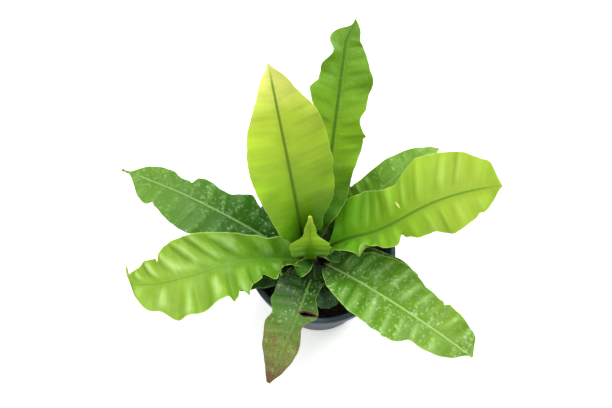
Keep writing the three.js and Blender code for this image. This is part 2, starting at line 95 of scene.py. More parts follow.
# The fronds. bearing: degrees anticlockwise from +X seen from above. turn: offset of the foot
# around the crown. root: distance of the foot from the crown's middle. rise: its height.
# lift: elevation of the midrib from foot to tip. sweep: added to the bearing. channel: how far
# both halves fold up. left and right: half widths from foot to tip. ripple: waves along each
# margin, their height and their phase.
# trim_left and trim_right: how much wider the margin really is, at even stations.
# pleat: height of the soft pleats along the veins, and their pitch. slant: their lean.
# margin: cuts (+) and lobes (-) as side, place s, spread in s and depth.
# sway: how far the tip bends to the left, from which s. end: where the blade rounds off.
# tail: length of a thin last tip. bulb: how thick it swells near its end.
# frill: tight waves of a margin as side, place s, spread in s, pitch and height.
# curl: a margin rolled up as side, place s, spread in s, start u and degrees.
# tear: a slit at s and u, its length and width, and its slant in degrees.
# scar: place s and distance from the midrib of a pale mark. small: made with fewer faces.
# tones: colours of the blade from foot to tip. side: how much lighter the left half is painted,
# a painted light on that half. rib: negative for a groove, positive for a raised midrib. edge and
# rib_show: strength of the tones of the margin, a painted highlight, and of the midrib, whose dark
# line along a groove is painted shade. crest: how much lighter the pleats' crests are painted, a
# painted highlight. gleam: strength of the painted highlight bands there. haze (a pale film,
# mostly painted sheen), specks, rust: 0 to 1.
FRONDS = (
    {
        "name": "frond_back_left", "slot": "frond_pale", "seed": 1,
        "bearing": 116, "turn": 15, "rise": 112, "length": 191,
        "lift": (82, 76, 68, 60, 52), "sweep": (0, -5, -8, -11),
        "channel": (45, 20, 10, 8, 12),
        "left": (4, 9, 17.5, 21.5, 24.5, 29.5, 29, 26.5, 20.5, 10.5, 0),
        "right": (4, 8, 16, 25, 28.5, 30.5, 31, 29, 23, 11, 0),
        "ripple_left": (5, 1, 0), "ripple_right": (5, 1, 0.3),
        "trim_left": (0, 0, 0, 0, 0, 0, 0, 0, 0, -1, -2, -1, 0, 0, 0, 0, 0, 0.6, 0.5, 1.8, 0),
        "trim_right": (
            0, 0, 0, 0, 0.5, -2, -1, 0, 0, 0.3, -0.3, 0.3, -0.5, 0, 0.6, 1, 2.3, 2.5, 2.8, 3.4,
            0,
        ),
        "pleat": (0.16, 14), "crest": 0.03, "rib": -1,
        "tones": ("#4a7c0c", "#609b0f", "#a6d329", "#c7e33f", "#fcff88"),
        "rib_and_groove_shade_tone": "#517716", "edge": 0.35, "rib_show": 0.75, "side": 0.1,
    },
    {
        "name": "frond_back_right", "slot": "frond_mid", "seed": 2,
        "bearing": 76.5, "turn": 3, "rise": 108, "length": 189,
        "lift": (60, 48, 34, 20),
        "sweep": (0, 0, 0, 0, 0, 1, 2, 4, 5, 5, 5, 5, 5, 5, 3, -20, 20), "end": 0.985,
        "channel": (45, 14, 8, 4),
        "left": (4, 5, 7, 9, 12, 15, 18, 19, 20, 20, 20, 20, 17, 15, 12.5, 6, 0.5),
        "right": (4, 5, 7, 9, 12, 16, 20, 22, 23, 22, 20, 20, 22.5, 22, 13, 4, 0.5),
        "ripple_left": (5, 2, 0), "ripple_right": (5, 2, 0.3),
        "trim_left": (
            0, 0, 0, 0, 0, 0, 0, 0, 0, 0, -4, -6, -6.5, -1.6, 1.4, -0.6, -0.5, -5.8, 2, -1.5,
            0,
        ),
        "trim_right": (
            0, 0, 1, 2, 4, 5, 3.5, 0, -2, -1.2, -0.5, 0, -2.3, 1.8, 1.9, 1.8, -2.5, -1, 2.5, 4,
            0,
        ),
        "pleat": (0.4, 12), "rib": -1,
        "margin": ((-1, 0.543, 0.008, -2.2), (1, 0.735, 0.01, 1.2), (1, 0.705, 0.012, -0.8)),
        "tones": ("#204607", "#41780d", "#80ac1c", "#608d17", "#5a841b"),
        "rib_and_groove_shade_tone": "#315e0f", "edge": 0.3, "rib_show": 0.7, "haze_and_sheen": 0.25, "specks": 0.15,
    },
    {
        "name": "frond_right_rear", "slot": "frond_dark", "seed": 3,
        "bearing": 38, "turn": 4, "rise": 102, "length": 132,
        "lift": (50, 40, 25, 5), "sweep": (0, 0, -2, -14), "channel": (45, 14, 8, 4),
        "left": (3, 6, 12, 17, 18, 18, 17.5, 16, 13, 8.5, 0.5),
        "right": (3, 8, 12, 15, 17, 18, 17, 15, 12, 7, 0),
        "ripple_left": (5, 1, 0), "ripple_right": (5, 1, 0.3),
        "trim_left": (
            0, 0, 0, 0, 0, 0, 0, 0, 0, 0, -0.8, -0.8, -1.7, -1.3, -0.8, -1, -1, -1.6, -1.5, -0.7, 0,
        ),
        "pleat": (0.4, 11), "end": 0.975, "rib": 1,
        "tones": ("#1b3c07", "#38670d", "#608c19", "#6d982b", "#7da236"),
        "rib_and_groove_shade_tone": "#6d9045", "edge": 0.1, "rib_show": 0.6, "haze_and_sheen": 0.4, "specks": 0.7,
    },
    {
        "name": "frond_right_pale", "slot": "frond_pale", "seed": 4,
        "bearing": 12, "turn": 18, "rise": 113, "length": 166,
        "lift": (50, 48, 38, 18), "sweep": (0, -10, -19, -7, 5, 1, -5, -9, -12),
        "channel": (40, 14, 8, 4),
        "left": (4, 4, 22, 29, 27.5, 24, 26.5, 32.5, 31, 25, 0),
        "right": (4, 6, 12.5, 21, 19.5, 16, 24, 26, 29, 17, 0),
        "ripple_left": (5, 1, 0), "ripple_right": (5, 1, 0.3),
        "trim_left": (
            0, 1, 5.5, 8.5, 7, 4, 3.5, 2.7, 2.2, 1.8, 1.6, 1.2, 3.6, 5, 2.2, 1.6, 1, -1, -2, 4.5, 0,
        ),
        "trim_right": (
            4, 5, 5.5, 4, 1, -1.5, -1, -8, -3.3, 0, -1.4, -0.8, -3, -4, -1.3, -0.4, -3.2, -2.6,
            0, 0, 0,
        ),
        "pleat": (0.6, 14), "crest": 0.07, "end": 0.98, "rib": -1,
        "margin": ((-1, 0.477, 0.012, 5), (-1, 0.875, 0.012, 2)),
        "curl": ((-1, 0.322, 0.022, 0.5, 140), (-1, 0.13, 0.05, 0.3, 70)),
        "scar": (0.512, 10.8),
        "tones": ("#4c8b0d", "#609e12", "#83af20", "#96b330", "#8ba822"),
        "rib_and_groove_shade_tone": "#5c8324", "edge": 0.4, "rib_show": 0.75, "side": 0.06, "gleam": 0.08,
    },
    {
        "name": "frond_front_right", "slot": "frond_mid", "seed": 5,
        "bearing": -38, "turn": 20, "rise": 104, "length": 146,
        "lift": (35, 28, 12, -12), "sweep": (0, -2, -2.3, -1.3, 0.7, 5),
        "channel": (30, 10, 4, 0),
        "left": (4, 14, 20, 25, 26, 25.5, 21, 19.5, 18, 12, 2),
        "right": (5, 16, 23, 27, 28.5, 27.5, 28.5, 19, 16, 10.5, 2),
        "ripple_left": (5, 1, 0), "ripple_right": (5, 1, 0.3),
        "trim_left": (
            4, 5, 5, 3.5, 2, 2, 2.5, 3.5, 3.8, 3.5, 2.5, 2.5, 2.6, 2.4, 2, 3.5, 3.3, 4, 5, 6.5,
            1,
        ),
        "trim_right": (
            0, 0, -0.8, -1, -2, -2.8, -3, -2.8, -3.2, -2.4, -1.6, -3, -2.6, -0.6, -2, 0, 0, 0,
            -0.8, -3.2, 0,
        ),
        "pleat": (0.9, 14), "crest": 0.1, "end": 0.985, "rib": 1,
        "margin": ((1, 0.725, 0.01, 2.5), (-1, 0.68, 0.012, 1), (-1, 0.575, 0.01, -1)),
        "tones": ("#265008", "#4c8215", "#618f19", "#719827", "#628b18"),
        "rib_and_groove_shade_tone": "#90b160", "edge": 0.5, "rib_show": 0.8, "haze_and_sheen": 0.75, "specks": 1.0,
        "gleam": 0.22,
    },
    {
        "name": "frond_front", "slot": "frond_dark", "seed": 6,
        "bearing": -105, "turn": 14, "rise": 100, "length": 102,
        "lift": (42, 22, -5, -30), "sweep": (0, -3, -8, -11), "channel": (30, 10, 4, 0),
        "left": (5, 10, 11, 12, 15.7, 9.5, 10.5, 11.7, 9.7, 6, 1),
        "right": (5, 18, 21, 20.5, 21, 17.5, 19, 15, 9.5, 5, 1),
        "ripple_left": (4, 1, 0), "ripple_right": (4, 1, 0.3),
        "trim_left": (
            5, 5, 4, 1, -1, -2, -2.3, -2, -0.5, 1, -1.5, -2.8, -2, -0.8, -0.8, -0.4, 0, 0, 0,
            0, 0,
        ),
        "trim_right": (
            5, 4, 2, 1, 2, 2.5, 2.8, 2.4, 2.8, 2, 1.2, 2.2, 1.8, 2, 2.6, 3.8, 4, 3.5, 2.6, 2,
            1,
        ),
        "pleat": (0.3, 10), "rib": 1,
        "tear": {"s": 0.42, "u": 0.5, "length": 13, "width": 3.4, "slant": 7},
        "tones": ("#0f2804", "#133906", "#48751a", "#74803b", "#7e764f"),
        "rib_and_groove_shade_tone": "#607f36", "edge": 0.15, "rib_show": 0.7, "haze_and_sheen": 0.1, "specks": 0.45,
        "rust": 1.0,
    },
    {
        "name": "frond_left_pale", "slot": "frond_pale", "seed": 7,
        "bearing": 188, "turn": 0, "rise": 107, "length": 146,
        "lift": (38, 24, 4, -8), "sweep": (0, 2, 6, 10, 13, 11, 5, -9, -28),
        "channel": (40, 26, 17, 10, 5, 2, 0),
        "left": (3, 4, 15, 14, 21, 25, 29, 31, 22, 15, 1.5),
        "right": (4, 12, 15, 23.5, 26, 33, 31, 31, 21, 18, 1.5),
        "ripple_left": (6, 2.6, 0), "ripple_right": (5, 2, 0.3),
        "trim_left": (
            6, 5, 1.5, 1, 3, 0.7, 4.3, 4, 6, 4.5, 1, -0.5, 0.5, -0.6, -0.5, 2.7, 0.3, 1.8, -3,
            -6, 0,
        ),
        "trim_right": (
            4, 5, 6, 4.5, 1, 0, -3, -2, -2.6, -3.1, -3.4, -2.2, -0.8, -1.3, -1.2, 0, -1, -0.5,
            -0.7, -1.3, 0,
        ),
        "pleat": (1.9, 18), "slant": (0.15, 0.8), "crest": 0.11, "rib": 1,
        "sway": (-10, 0.92), "tail": 1.5,
        "margin": (
            (-1, 0.795, 0.007, 4.5), (-1, 0.975, 0.008, 5), (1, 0.165, 0.011, -4),
            (1, 0.19, 0.01, 2), (1, 0.225, 0.012, -4), (1, 0.255, 0.012, 2),
            (1, 0.398, 0.014, -3.5), (1, 0.428, 0.01, 4.5), (1, 0.47, 0.014, -3),
            (1, 0.735, 0.02, -1),
        ),
        "frill": ((1, 0.33, 0.16, 10, 2.4), (1, 0.12, 0.06, 9, 2)),
        "tones": ("#467a09", "#5c930f", "#77a223", "#86a92c", "#81a71e"),
        "rib_and_groove_shade_tone": "#60892b", "edge": 0.7, "rib_show": 0.45, "haze_and_sheen": 0.5, "gleam": 0.34,
    },
    {
        "name": "frond_left_rear", "slot": "frond_dark", "seed": 8,
        "bearing": 158, "turn": 6, "rise": 98.5, "length": 154,
        "lift": (38, 30, 14, -3), "sweep": (0, 0, 0, 0), "channel": (30, 10, 4, 0),
        "left": (3, 4, 8, 11, 15, 20, 25, 26, 22, 16, 1),
        "right": (2, 5, 9, 14, 19, 21, 19.5, 16, 14.5, 12.5, 1),
        "ripple_left": (5, 1, 0), "ripple_right": (5, 1, 0.3),
        "trim_left": (0, 0, 0, 0, 0, 0, 0, 0, 0, 0, 0, 0, 1.8, 0.8, -0.8, -2.7, -4, -0.5, 0, 0, 0),
        "trim_right": (
            0, 0, 0, 0, 2, 3, 3, 3.4, 4.5, 0, -4.3, -4.3, -1.8, 0.2, -3, -3.8, -0.6, -0.5, -1.2,
            0.8, 0,
        ),
        "pleat": (0.35, 12), "rib": 1, "tail": 6.5, "bulb": 0.9,
        "margin": ((-1, 0.692, 0.01, 1.8), (-1, 0.672, 0.01, -1), (1, 0.825, 0.012, 2.5)),
        "tones": ("#123603", "#1d4c04", "#36680f", "#568320", "#658d26"),
        "rib_and_groove_shade_tone": "#789e55", "edge": 0.08, "rib_show": 0.7, "haze_and_sheen": 0.35, "specks": 0.45,
    },
    {
        "name": "frond_centre_young", "slot": "frond_pale", "seed": 9, "small": True,
        "bearing": 93, "turn": 87, "root": 2, "rise": 112, "length": 68,
        "lift": (80, 83, 80), "sweep": (0, 0), "channel": (25, 14, 25),
        "left": (4, 9, 13, 12, 8.5, 6.5, 5.5, 4.8, 4.2, 3.4, 1.5),
        "right": (4, 9, 13, 12, 8.5, 6.5, 5.5, 4.8, 4.2, 3.4, 1.5),
        "ripple_left": (2, 0.5, 0), "ripple_right": (2, 0.5, 0.3),
        "trim_left": (
            0, -1, -4, -2, 1.5, 2.5, 4, 6.5, 8, 8.5, 6, 2.5, 0.5, 0, 0, 0, -0.5, -1, -1, -0.5,
            0,
        ),
        "trim_right": (
            0, -1, -4, -2, 1.5, 2.5, 3.5, 5.5, 6.5, 7.5, 5, 2, 0.5, 0, 0, 0, -0.5, -1, -1,
            -0.5, 0,
        ),
        "pleat": (0.2, 8), "rib": 1,
        "tones": ("#599912", "#73b817", "#c4f837", "#a5d51e", "#d8f34e"),
        "rib_and_groove_shade_tone": "#759d1c", "edge": 0.5, "rib_show": 0.6, "gleam": 0.3,
    },
    {
        "name": "frond_left_under", "slot": "frond_dark", "seed": 10, "small": True,
        "bearing": 203, "turn": -4, "rise": 97, "length": 57,
        "lift": (30, 15, -10), "sweep": (0, 4), "channel": (30, 10, 4, 0),
        "left": (3, 7, 9.5, 10, 9.5, 9, 8, 6.5, 5, 3, 0),
        "right": (3, 4, 9, 11, 11, 11, 10, 8, 6, 4, 0),
        "ripple_left": (3, 1, 0), "ripple_right": (3, 1, 0.3),
        "pleat": (0.3, 8), "rib": 1,
        "tones": ("#15300a", "#1c3f0f", "#295118", "#355e21", "#3f6727"),
        "rib_and_groove_shade_tone": "#3d5c2b", "edge": 0.2, "rib_show": 0.6, "haze_and_sheen": 0.4, "specks": 0.4,
    },
    {
        "name": "frond_front_short", "slot": "frond_dark", "seed": 11, "small": True,
        "bearing": -75, "turn": 15, "rise": 97, "length": 34,
        "lift": (25, 10, -10), "sweep": (0, 0), "channel": (30, 10, 4, 0),
        "left": (2, 4, 6, 8, 9, 10, 10, 9.5, 8, 5, 0),
        "right": (2, 4, 6, 8, 9, 10, 10, 9.5, 8, 5, 0),
        "ripple_left": (2, 1, 0), "ripple_right": (2, 1, 0.3),
        "pleat": (0.2, 7), "rib": 1,
        "tones": ("#1b3519", "#294827", "#395c37", "#436a41", "#486e45"),
        "rib_and_groove_shade_tone": "#4a6338", "edge": 0.2, "rib_show": 0.6, "haze_and_sheen": 0.6, "specks": 0.2,
        "end": 0.9,
    },
    {
        "name": "frond_right_under", "slot": "frond_dark", "seed": 12, "small": True,
        "bearing": -11, "turn": 0, "rise": 98, "length": 80,
        "lift": (28, 15, -5), "sweep": (0, 0), "channel": (30, 10, 4, 0),
        "left": (3, 8, 11, 13, 14, 14, 13, 12, 10, 6, 0),
        "right": (3, 8, 11, 13, 14, 14, 13, 12, 10, 6, 0),
        "ripple_left": (3, 1, 0), "ripple_right": (3, 1, 0.3),
        "trim_left": (0, 0, 0, 1, 1.5, 1.5, 0.5, -1, -2, -3, 0),
        "pleat": (0.3, 8), "end": 0.94, "rib": 1,
        "tones": ("#153008", "#1e420c", "#2c5613", "#39651a", "#446e23"),
        "rib_and_groove_shade_tone": "#46672b", "edge": 0.2, "rib_show": 0.6, "haze_and_sheen": 0.3, "specks": 0.5,
    },
)


# Small curled lobes of the blades between the feet of the front fronds.
LOBES = (
    {
        "name": "lobe_front", "slot": "frond_dark", "seed": 23, "small": True,
        "bearing": -84, "turn": 0, "root": 5, "rise": 109, "length": 19,
        "lift": (0, -22, -35, -40), "sweep": (0, 0), "channel": (0, 0),
        "left": (5, 8, 9, 8.5, 7, 4), "right": (5, 7.5, 8.5, 8, 7, 4),
        "ripple_left": (1.5, 0.3, 0), "ripple_right": (1.5, 0.3, 0.4),
        "pleat": (0.15, 6), "rib": 1,
        "tones": ("#102404", "#142c08", "#1d3c0a", "#24460d", "#2c5012"),
        "rib_and_groove_shade_tone": "#3c6420", "edge": 0.1, "rib_show": 0.5, "haze_and_sheen": 0.3,
    },
    {
        "name": "lobe_left", "slot": "frond_pale", "seed": 21, "small": True,
        "bearing": 228, "turn": -4, "root": 4, "rise": 110, "length": 18,
        "lift": (35, 20, -25, -60), "sweep": (0, 10), "channel": (0, 0, -10),
        "left": (4, 5.5, 6, 5.5, 4, 0.5), "right": (4, 5.5, 6.5, 6, 4, 0.5),
        "ripple_left": (1.5, 1.2, 0), "ripple_right": (1.5, 1.2, 0.4),
        "pleat": (0.2, 6), "rib": 1,
        "tones": ("#1f4a0a", "#306412", "#437c1a", "#4c861f", "#447a18"),
        "rib_and_groove_shade_tone": "#3c6c18", "edge": 0.6, "rib_show": 0.3,
    },
    {
        "name": "lobe_right", "slot": "frond_pale", "seed": 22, "small": True,
        "bearing": -14, "turn": 20, "root": 9, "rise": 120, "length": 16,
        "lift": (15, 0, -30, -60), "sweep": (0, -15), "channel": (10, 0, -10),
        "left": (4, 5.5, 6.5, 6, 4.5, 0.5), "right": (4, 5, 5.5, 5, 3.5, 0.5),
        "ripple_left": (1.5, 1.2, 0.2), "ripple_right": (1.5, 1, 0),
        "pleat": (0.2, 6), "rib": 1,
        "tones": ("#1f4a0c", "#35701a", "#487f2a", "#4d8530", "#4a7f2e"),
        "rib_and_groove_shade_tone": "#3f6e20", "edge": 0.4, "rib_show": 0.3, "haze_and_sheen": 0.3,
    },
)


def tint(code):
    """Linear RGBA of a colour written as #rrggbb."""
    parts = [int(code[i : i + 2], 16) / 255 for i in (1, 3, 5)]
    return [c / 12.92 if c <= 0.04045 else ((c + 0.055) / 1.055) ** 2.4 for c in parts] + [1.0]


def length(name, description, default):
    return bpy.props.FloatProperty(
        name=name, description=description, default=default, unit="LENGTH", precision=5
    )


def amount(name, description, default):
    return bpy.props.FloatProperty(name=name, description=description, default=default, min=0.0)


def colour(name, description, code):
    return bpy.props.FloatVectorProperty(
        name=name, description=description, default=tint(code), size=4, subtype="COLOR"
    )


class FernPotSettings(bpy.types.PropertyGroup):
    height: length("Height", "Height of the pot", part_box("pot")[1].z)
    rim_radius: length("Rim radius", "Outer radius of the rim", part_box("pot")[1].x)
    base_radius: length("Base radius", "Radius of the foot of the pot", 0.041)
    plastic: colour("Plastic", "Colour of the pot", "#36424c")
    dust: colour("Dust", "Colour of the film of dust", "#6c787e")
    roughness: amount("Roughness", "Roughness of the clean plastic", 0.5)


class FernMixSettings(bpy.types.PropertyGroup):
    grain: length("Grain", "Height of the grain on the potting mix", 0.0009)
    crumbs: bpy.props.IntProperty(name="Crumbs", description="Number of crumbs", default=1500)
    chips: bpy.props.IntProperty(name="Bark", description="Number of bark chips", default=110)
    fibres: bpy.props.IntProperty(name="Fibres", description="Number of fibres", default=90)
    peat: colour("Peat", "Colour of the potting mix", "#1d1917")
    bark: colour("Bark colour", "Colour of the bark chips", "#2e201a")


class FernCrownSettings(bpy.types.PropertyGroup):
    scales: bpy.props.IntProperty(name="Scales", description="Number of scales", default=620)
    scale_length: length("Scale length", "Length of one scale", 0.0075)
    scale_tone: colour("Scale colour", "Colour of the scales", "#130d10")


class FernFrondSettings(bpy.types.PropertyGroup):
    thickness: length("Thickness", "Thickness of the blade beside the midrib", 0.0007)
    edge: length("Edge", "Thickness of the blade at its margin", 0.0003)
    vein_pitch: length("Vein pitch", "Distance between fine veins", 0.0013)
    # The edge colour is a painted highlight along the margin.
    edge_highlight_tone: colour("Edge colour", "Colour of the thin line along the margin", "#a9c266")
    under_tone: colour("Underside", "Colour of the underside", "#8fb35c")
    keel_tone: colour("Keel", "Colour of the midrib underneath, near the foot", "#332c1a")
    # The gleam colour is a painted highlight: pale bands on the pleats' crests.
    gleam_tone: colour("Gleam", "Colour of the pale bands on the pleats", "#cfe59a")
    # The haze colour is mostly a painted sheen of the soft light on the glossy blade, partly a
    # mineral film.
    haze_and_sheen_tone: colour("Haze", "Colour of the pale mineral film", "#789e58")
    speck_tone: colour("Specks", "Colour of the dried water spots", "#a0bb84")
    rust_tone: colour("Rust", "Colour of dead tissue", "#62432f")
    roughness: amount("Roughness", "Roughness of a clean blade", 0.42)


class FernStageSettings(bpy.types.PropertyGroup):
    camera: bpy.props.FloatVectorProperty(
        name="Camera", description="Place of the camera", default=(-0.01137, -0.23485, 0.8278),
        subtype="TRANSLATION", unit="LENGTH",
    )
    tilt: bpy.props.FloatProperty(
        name="Tilt", description="Tilt of the camera from straight down",
        default=math.radians(20.71), subtype="ANGLE",
    )
    lens: bpy.props.FloatProperty(name="Lens", description="Focal length, mm", default=56.24)
    lamp: amount("Lamp", "Power of the large soft lamp", 22.0)
    sky: amount("Sky", "Strength of the white surroundings", 0.62)
    floor: colour("Floor", "Colour of the floor", "#f4f4f4")
    floor_glow: amount("Floor glow", "Light that the floor sends up", 0.36)


SETTINGS = {
    "fern_pot": FernPotSettings,
    "fern_mix": FernMixSettings,
    "fern_crown": FernCrownSettings,
    "fern_fronds": FernFrondSettings,
    "fern_stage": FernStageSettings,
}


class Value:
    """A shader socket. Arithmetic on it adds Math nodes."""

    def __init__(self, finish, socket):
        self.finish = finish
        self.socket = socket

    def math(self, operation, first, second=None):
        sockets = {0: first} if second is None else {0: first, 1: second}
        return self.finish.node("ShaderNodeMath", {"operation": operation}, sockets)

    def __add__(self, other):
        return self.math("ADD", self, other)

    def __radd__(self, other):
        return self.math("ADD", other, self)

    def __sub__(self, other):
        return self.math("SUBTRACT", self, other)

    def __rsub__(self, other):
        return self.math("SUBTRACT", other, self)

    def __mul__(self, other):
        return self.math("MULTIPLY", self, other)

    def __rmul__(self, other):
        return self.math("MULTIPLY", other, self)

    def __truediv__(self, other):
        return self.math("DIVIDE", self, other)

    def __rtruediv__(self, other):
        return self.math("DIVIDE", other, self)

    def __abs__(self):
        return self.math("ABSOLUTE", self)

    def __lt__(self, other):
        return self.math("LESS_THAN", self, other)

    def __gt__(self, other):
        return self.math("GREATER_THAN", self, other)

    def sine(self):
        return self.math("SINE", self)

    def larger(self, other):
        return self.math("MAXIMUM", self, other)

    def ease(self, low, high):
        """0 below low and 1 above high, with a smooth step between; low may be the larger."""
        return self.finish.node(
            "ShaderNodeMapRange", {"interpolation_type": "SMOOTHSTEP"},
            {"Value": self, "From Min": low, "From Max": high}, "Result",
        )


class Finish:
    """A material built node by node around one Principled shader."""

    def __init__(self, name):
        self.material = bpy.data.materials.new(name)
        self.material.use_nodes = True
        self.tree = self.material.node_tree
        self.tree.nodes.clear()

    def node(self, kind, settings=None, sockets=None, output=0):
        """Adds a node, its settings first and then its sockets, and returns one output."""
        made = self.tree.nodes.new(kind)
        for key, value in (settings or {}).items():
            if key == "stops":
                ramp = made.color_ramp
                while len(ramp.elements) < len(value):
                    ramp.elements.new(1.0)
                for stop, (place, shade) in zip(ramp.elements, value):
                    stop.position = place
                    stop.color = shade
            else:
                setattr(made, key, value)
        for key, value in (sockets or {}).items():
            if isinstance(value, Value):
                self.tree.links.new(value.socket, made.inputs[key])
            else:
                made.inputs[key].default_value = value
        return Value(self, made.outputs[output]) if made.outputs else None

    def mix(self, factor, first, second):
        """Colour between first and second."""
        sockets = {0: factor, 6: first, 7: second}
        return self.node("ShaderNodeMix", {"data_type": "RGBA"}, sockets, 2)

    def scale(self, shade, factor):
        """Colour made lighter or darker by a factor."""
        if not isinstance(shade, Value):
            shade = tuple(shade)[:3]
        return self.node(
            "ShaderNodeVectorMath", {"operation": "SCALE"}, {0: shade, "Scale": factor}, "Vector"
        )

    def split(self, vector):
        """The three parts of a vector or colour."""
        return [self.node("ShaderNodeSeparateXYZ", None, {0: vector}, axis) for axis in "XYZ"]

    def join(self, x, y, z):
        """A vector from three parts."""
        return self.node("ShaderNodeCombineXYZ", None, {0: x, 1: y, 2: z})

    def grain(self, vector, size, detail=2.0):
        """Noise around 0.5 whose lumps are about size wide, in the units of the vector."""
        return self.node(
            "ShaderNodeTexNoise", None, {"Vector": vector, "Scale": 1 / size, "Detail": detail}
        )

    def mesh_value(self, name):
        """A vector stored on the mesh."""
        return self.node("ShaderNodeAttribute", {"attribute_name": name}, None, "Vector")

    def surface(self, sockets, height=None):
        """Ends the material with a Principled shader; height is bump, in millimetres."""
        sockets = dict(sockets)
        if height is not None:
            sockets["Normal"] = self.node(
                "ShaderNodeBump", None, {"Strength": 1.0, "Distance": MM, "Height": height}
            )
        shader = self.node("ShaderNodeBsdfPrincipled", None, sockets)
        self.node("ShaderNodeOutputMaterial", None, {"Surface": shader})
        return self.material


def add_piece(name, points, faces, material, slot, nodes=(), values=None):
    """Adds a smooth mesh that rides on the object. Points are in millimetres."""
    mesh = bpy.data.meshes.new(name)
    mesh.from_pydata((np.asarray(points) * MM).tolist(), [], faces)
    mesh.validate()
    mesh.shade_smooth()
    for key, numbers in (values or {}).items():
        layer = mesh.attributes.new(key, "FLOAT_VECTOR", "POINT")
        layer.data.foreach_set("vector", np.asarray(numbers, np.float32).ravel())
    mesh.materials.append(material)
    piece = bpy.data.objects.new(name, mesh)
    bpy.context.scene.collection.objects.link(piece)
    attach(piece, "root")
    if nodes:
        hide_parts(*nodes)
    return piece


def lathe(profile, segments):
    """Points and faces of a profile of (radius, height) turned round the z axis."""
    points, faces, rings = [], [], []
    for radius, height in profile:
        first = len(points)
        if radius < 1e-6:
            points.append((0.0, 0.0, height))
            rings.append([first] * segments)
            continue
        for k in range(segments):
            angle = 2 * math.pi * k / segments
            points.append((radius * math.cos(angle), radius * math.sin(angle), height))
        rings.append(list(range(first, first + segments)))
    for low, high in zip(rings, rings[1:]):
        for k in range(segments):
            n = (k + 1) % segments
            loop = []
            for corner in (low[k], low[n], high[n], high[k]):
                if corner not in loop:
                    loop.append(corner)
            faces.append(loop)
    return np.array(points), faces


def rounded(corners, steps=4):
    """Profile through (radius, height, rounding) corners, each rounded by a short curve."""
    line = []
    for i, (r, z, rounding) in enumerate(corners):
        here = np.array([r, z], float)
        if rounding == 0 or i in (0, len(corners) - 1):
            line.append(tuple(here))
            continue
        before = np.array(corners[i - 1][:2]) - here
        after = np.array(corners[i + 1][:2]) - here
        start = here + before * min(rounding / np.linalg.norm(before), 0.5)
        end = here + after * min(rounding / np.linalg.norm(after), 0.5)
        for k in range(steps + 1):
            t = k / steps
            line.append(tuple((1 - t) ** 2 * start + 2 * t * (1 - t) * here + t * t * end))
    return line


def smoothstep(low, high, x):
    """0 at low and 1 at high, with a smooth step between; low may be the larger."""
    t = np.clip((x - low) / (high - low), 0, 1)
    return t * t * (3 - 2 * t)


def along(stations, s):
    """Smooth value at fraction s of a list of evenly spaced stations."""
    stations = np.asarray(stations, float)
    last = len(stations) - 1
    x = np.clip(s, 0, 1) * last
    i = np.minimum(np.floor(x).astype(int), last - 1)
    t = x - i
    a, b = stations[np.maximum(i - 1, 0)], stations[i]
    c, d = stations[i + 1], stations[np.minimum(i + 2, last)]
    square = 2 * a - 5 * b + 4 * c - d
    cube = 3 * b - a - 3 * c + d
    return 0.5 * (2 * b + (c - a) * t + square * t * t + cube * t**3)


def waver(x, seed):
    """Smooth random line of height 1 or less over x, for numpy arrays."""
    chance = random.Random(seed)
    total = 0.0
    for pace in (0.6, 1.0, 1.7, 2.9):
        total = total + np.sin(pace * x * chance.uniform(0.8, 1.25) + chance.uniform(0, 6.3))
    return total / 3


def flank_waver(x, u, seed):
    """A waver of its own on each side of the midrib."""
    return np.where(u >= 0, waver(x, seed), waver(x, seed + 50))


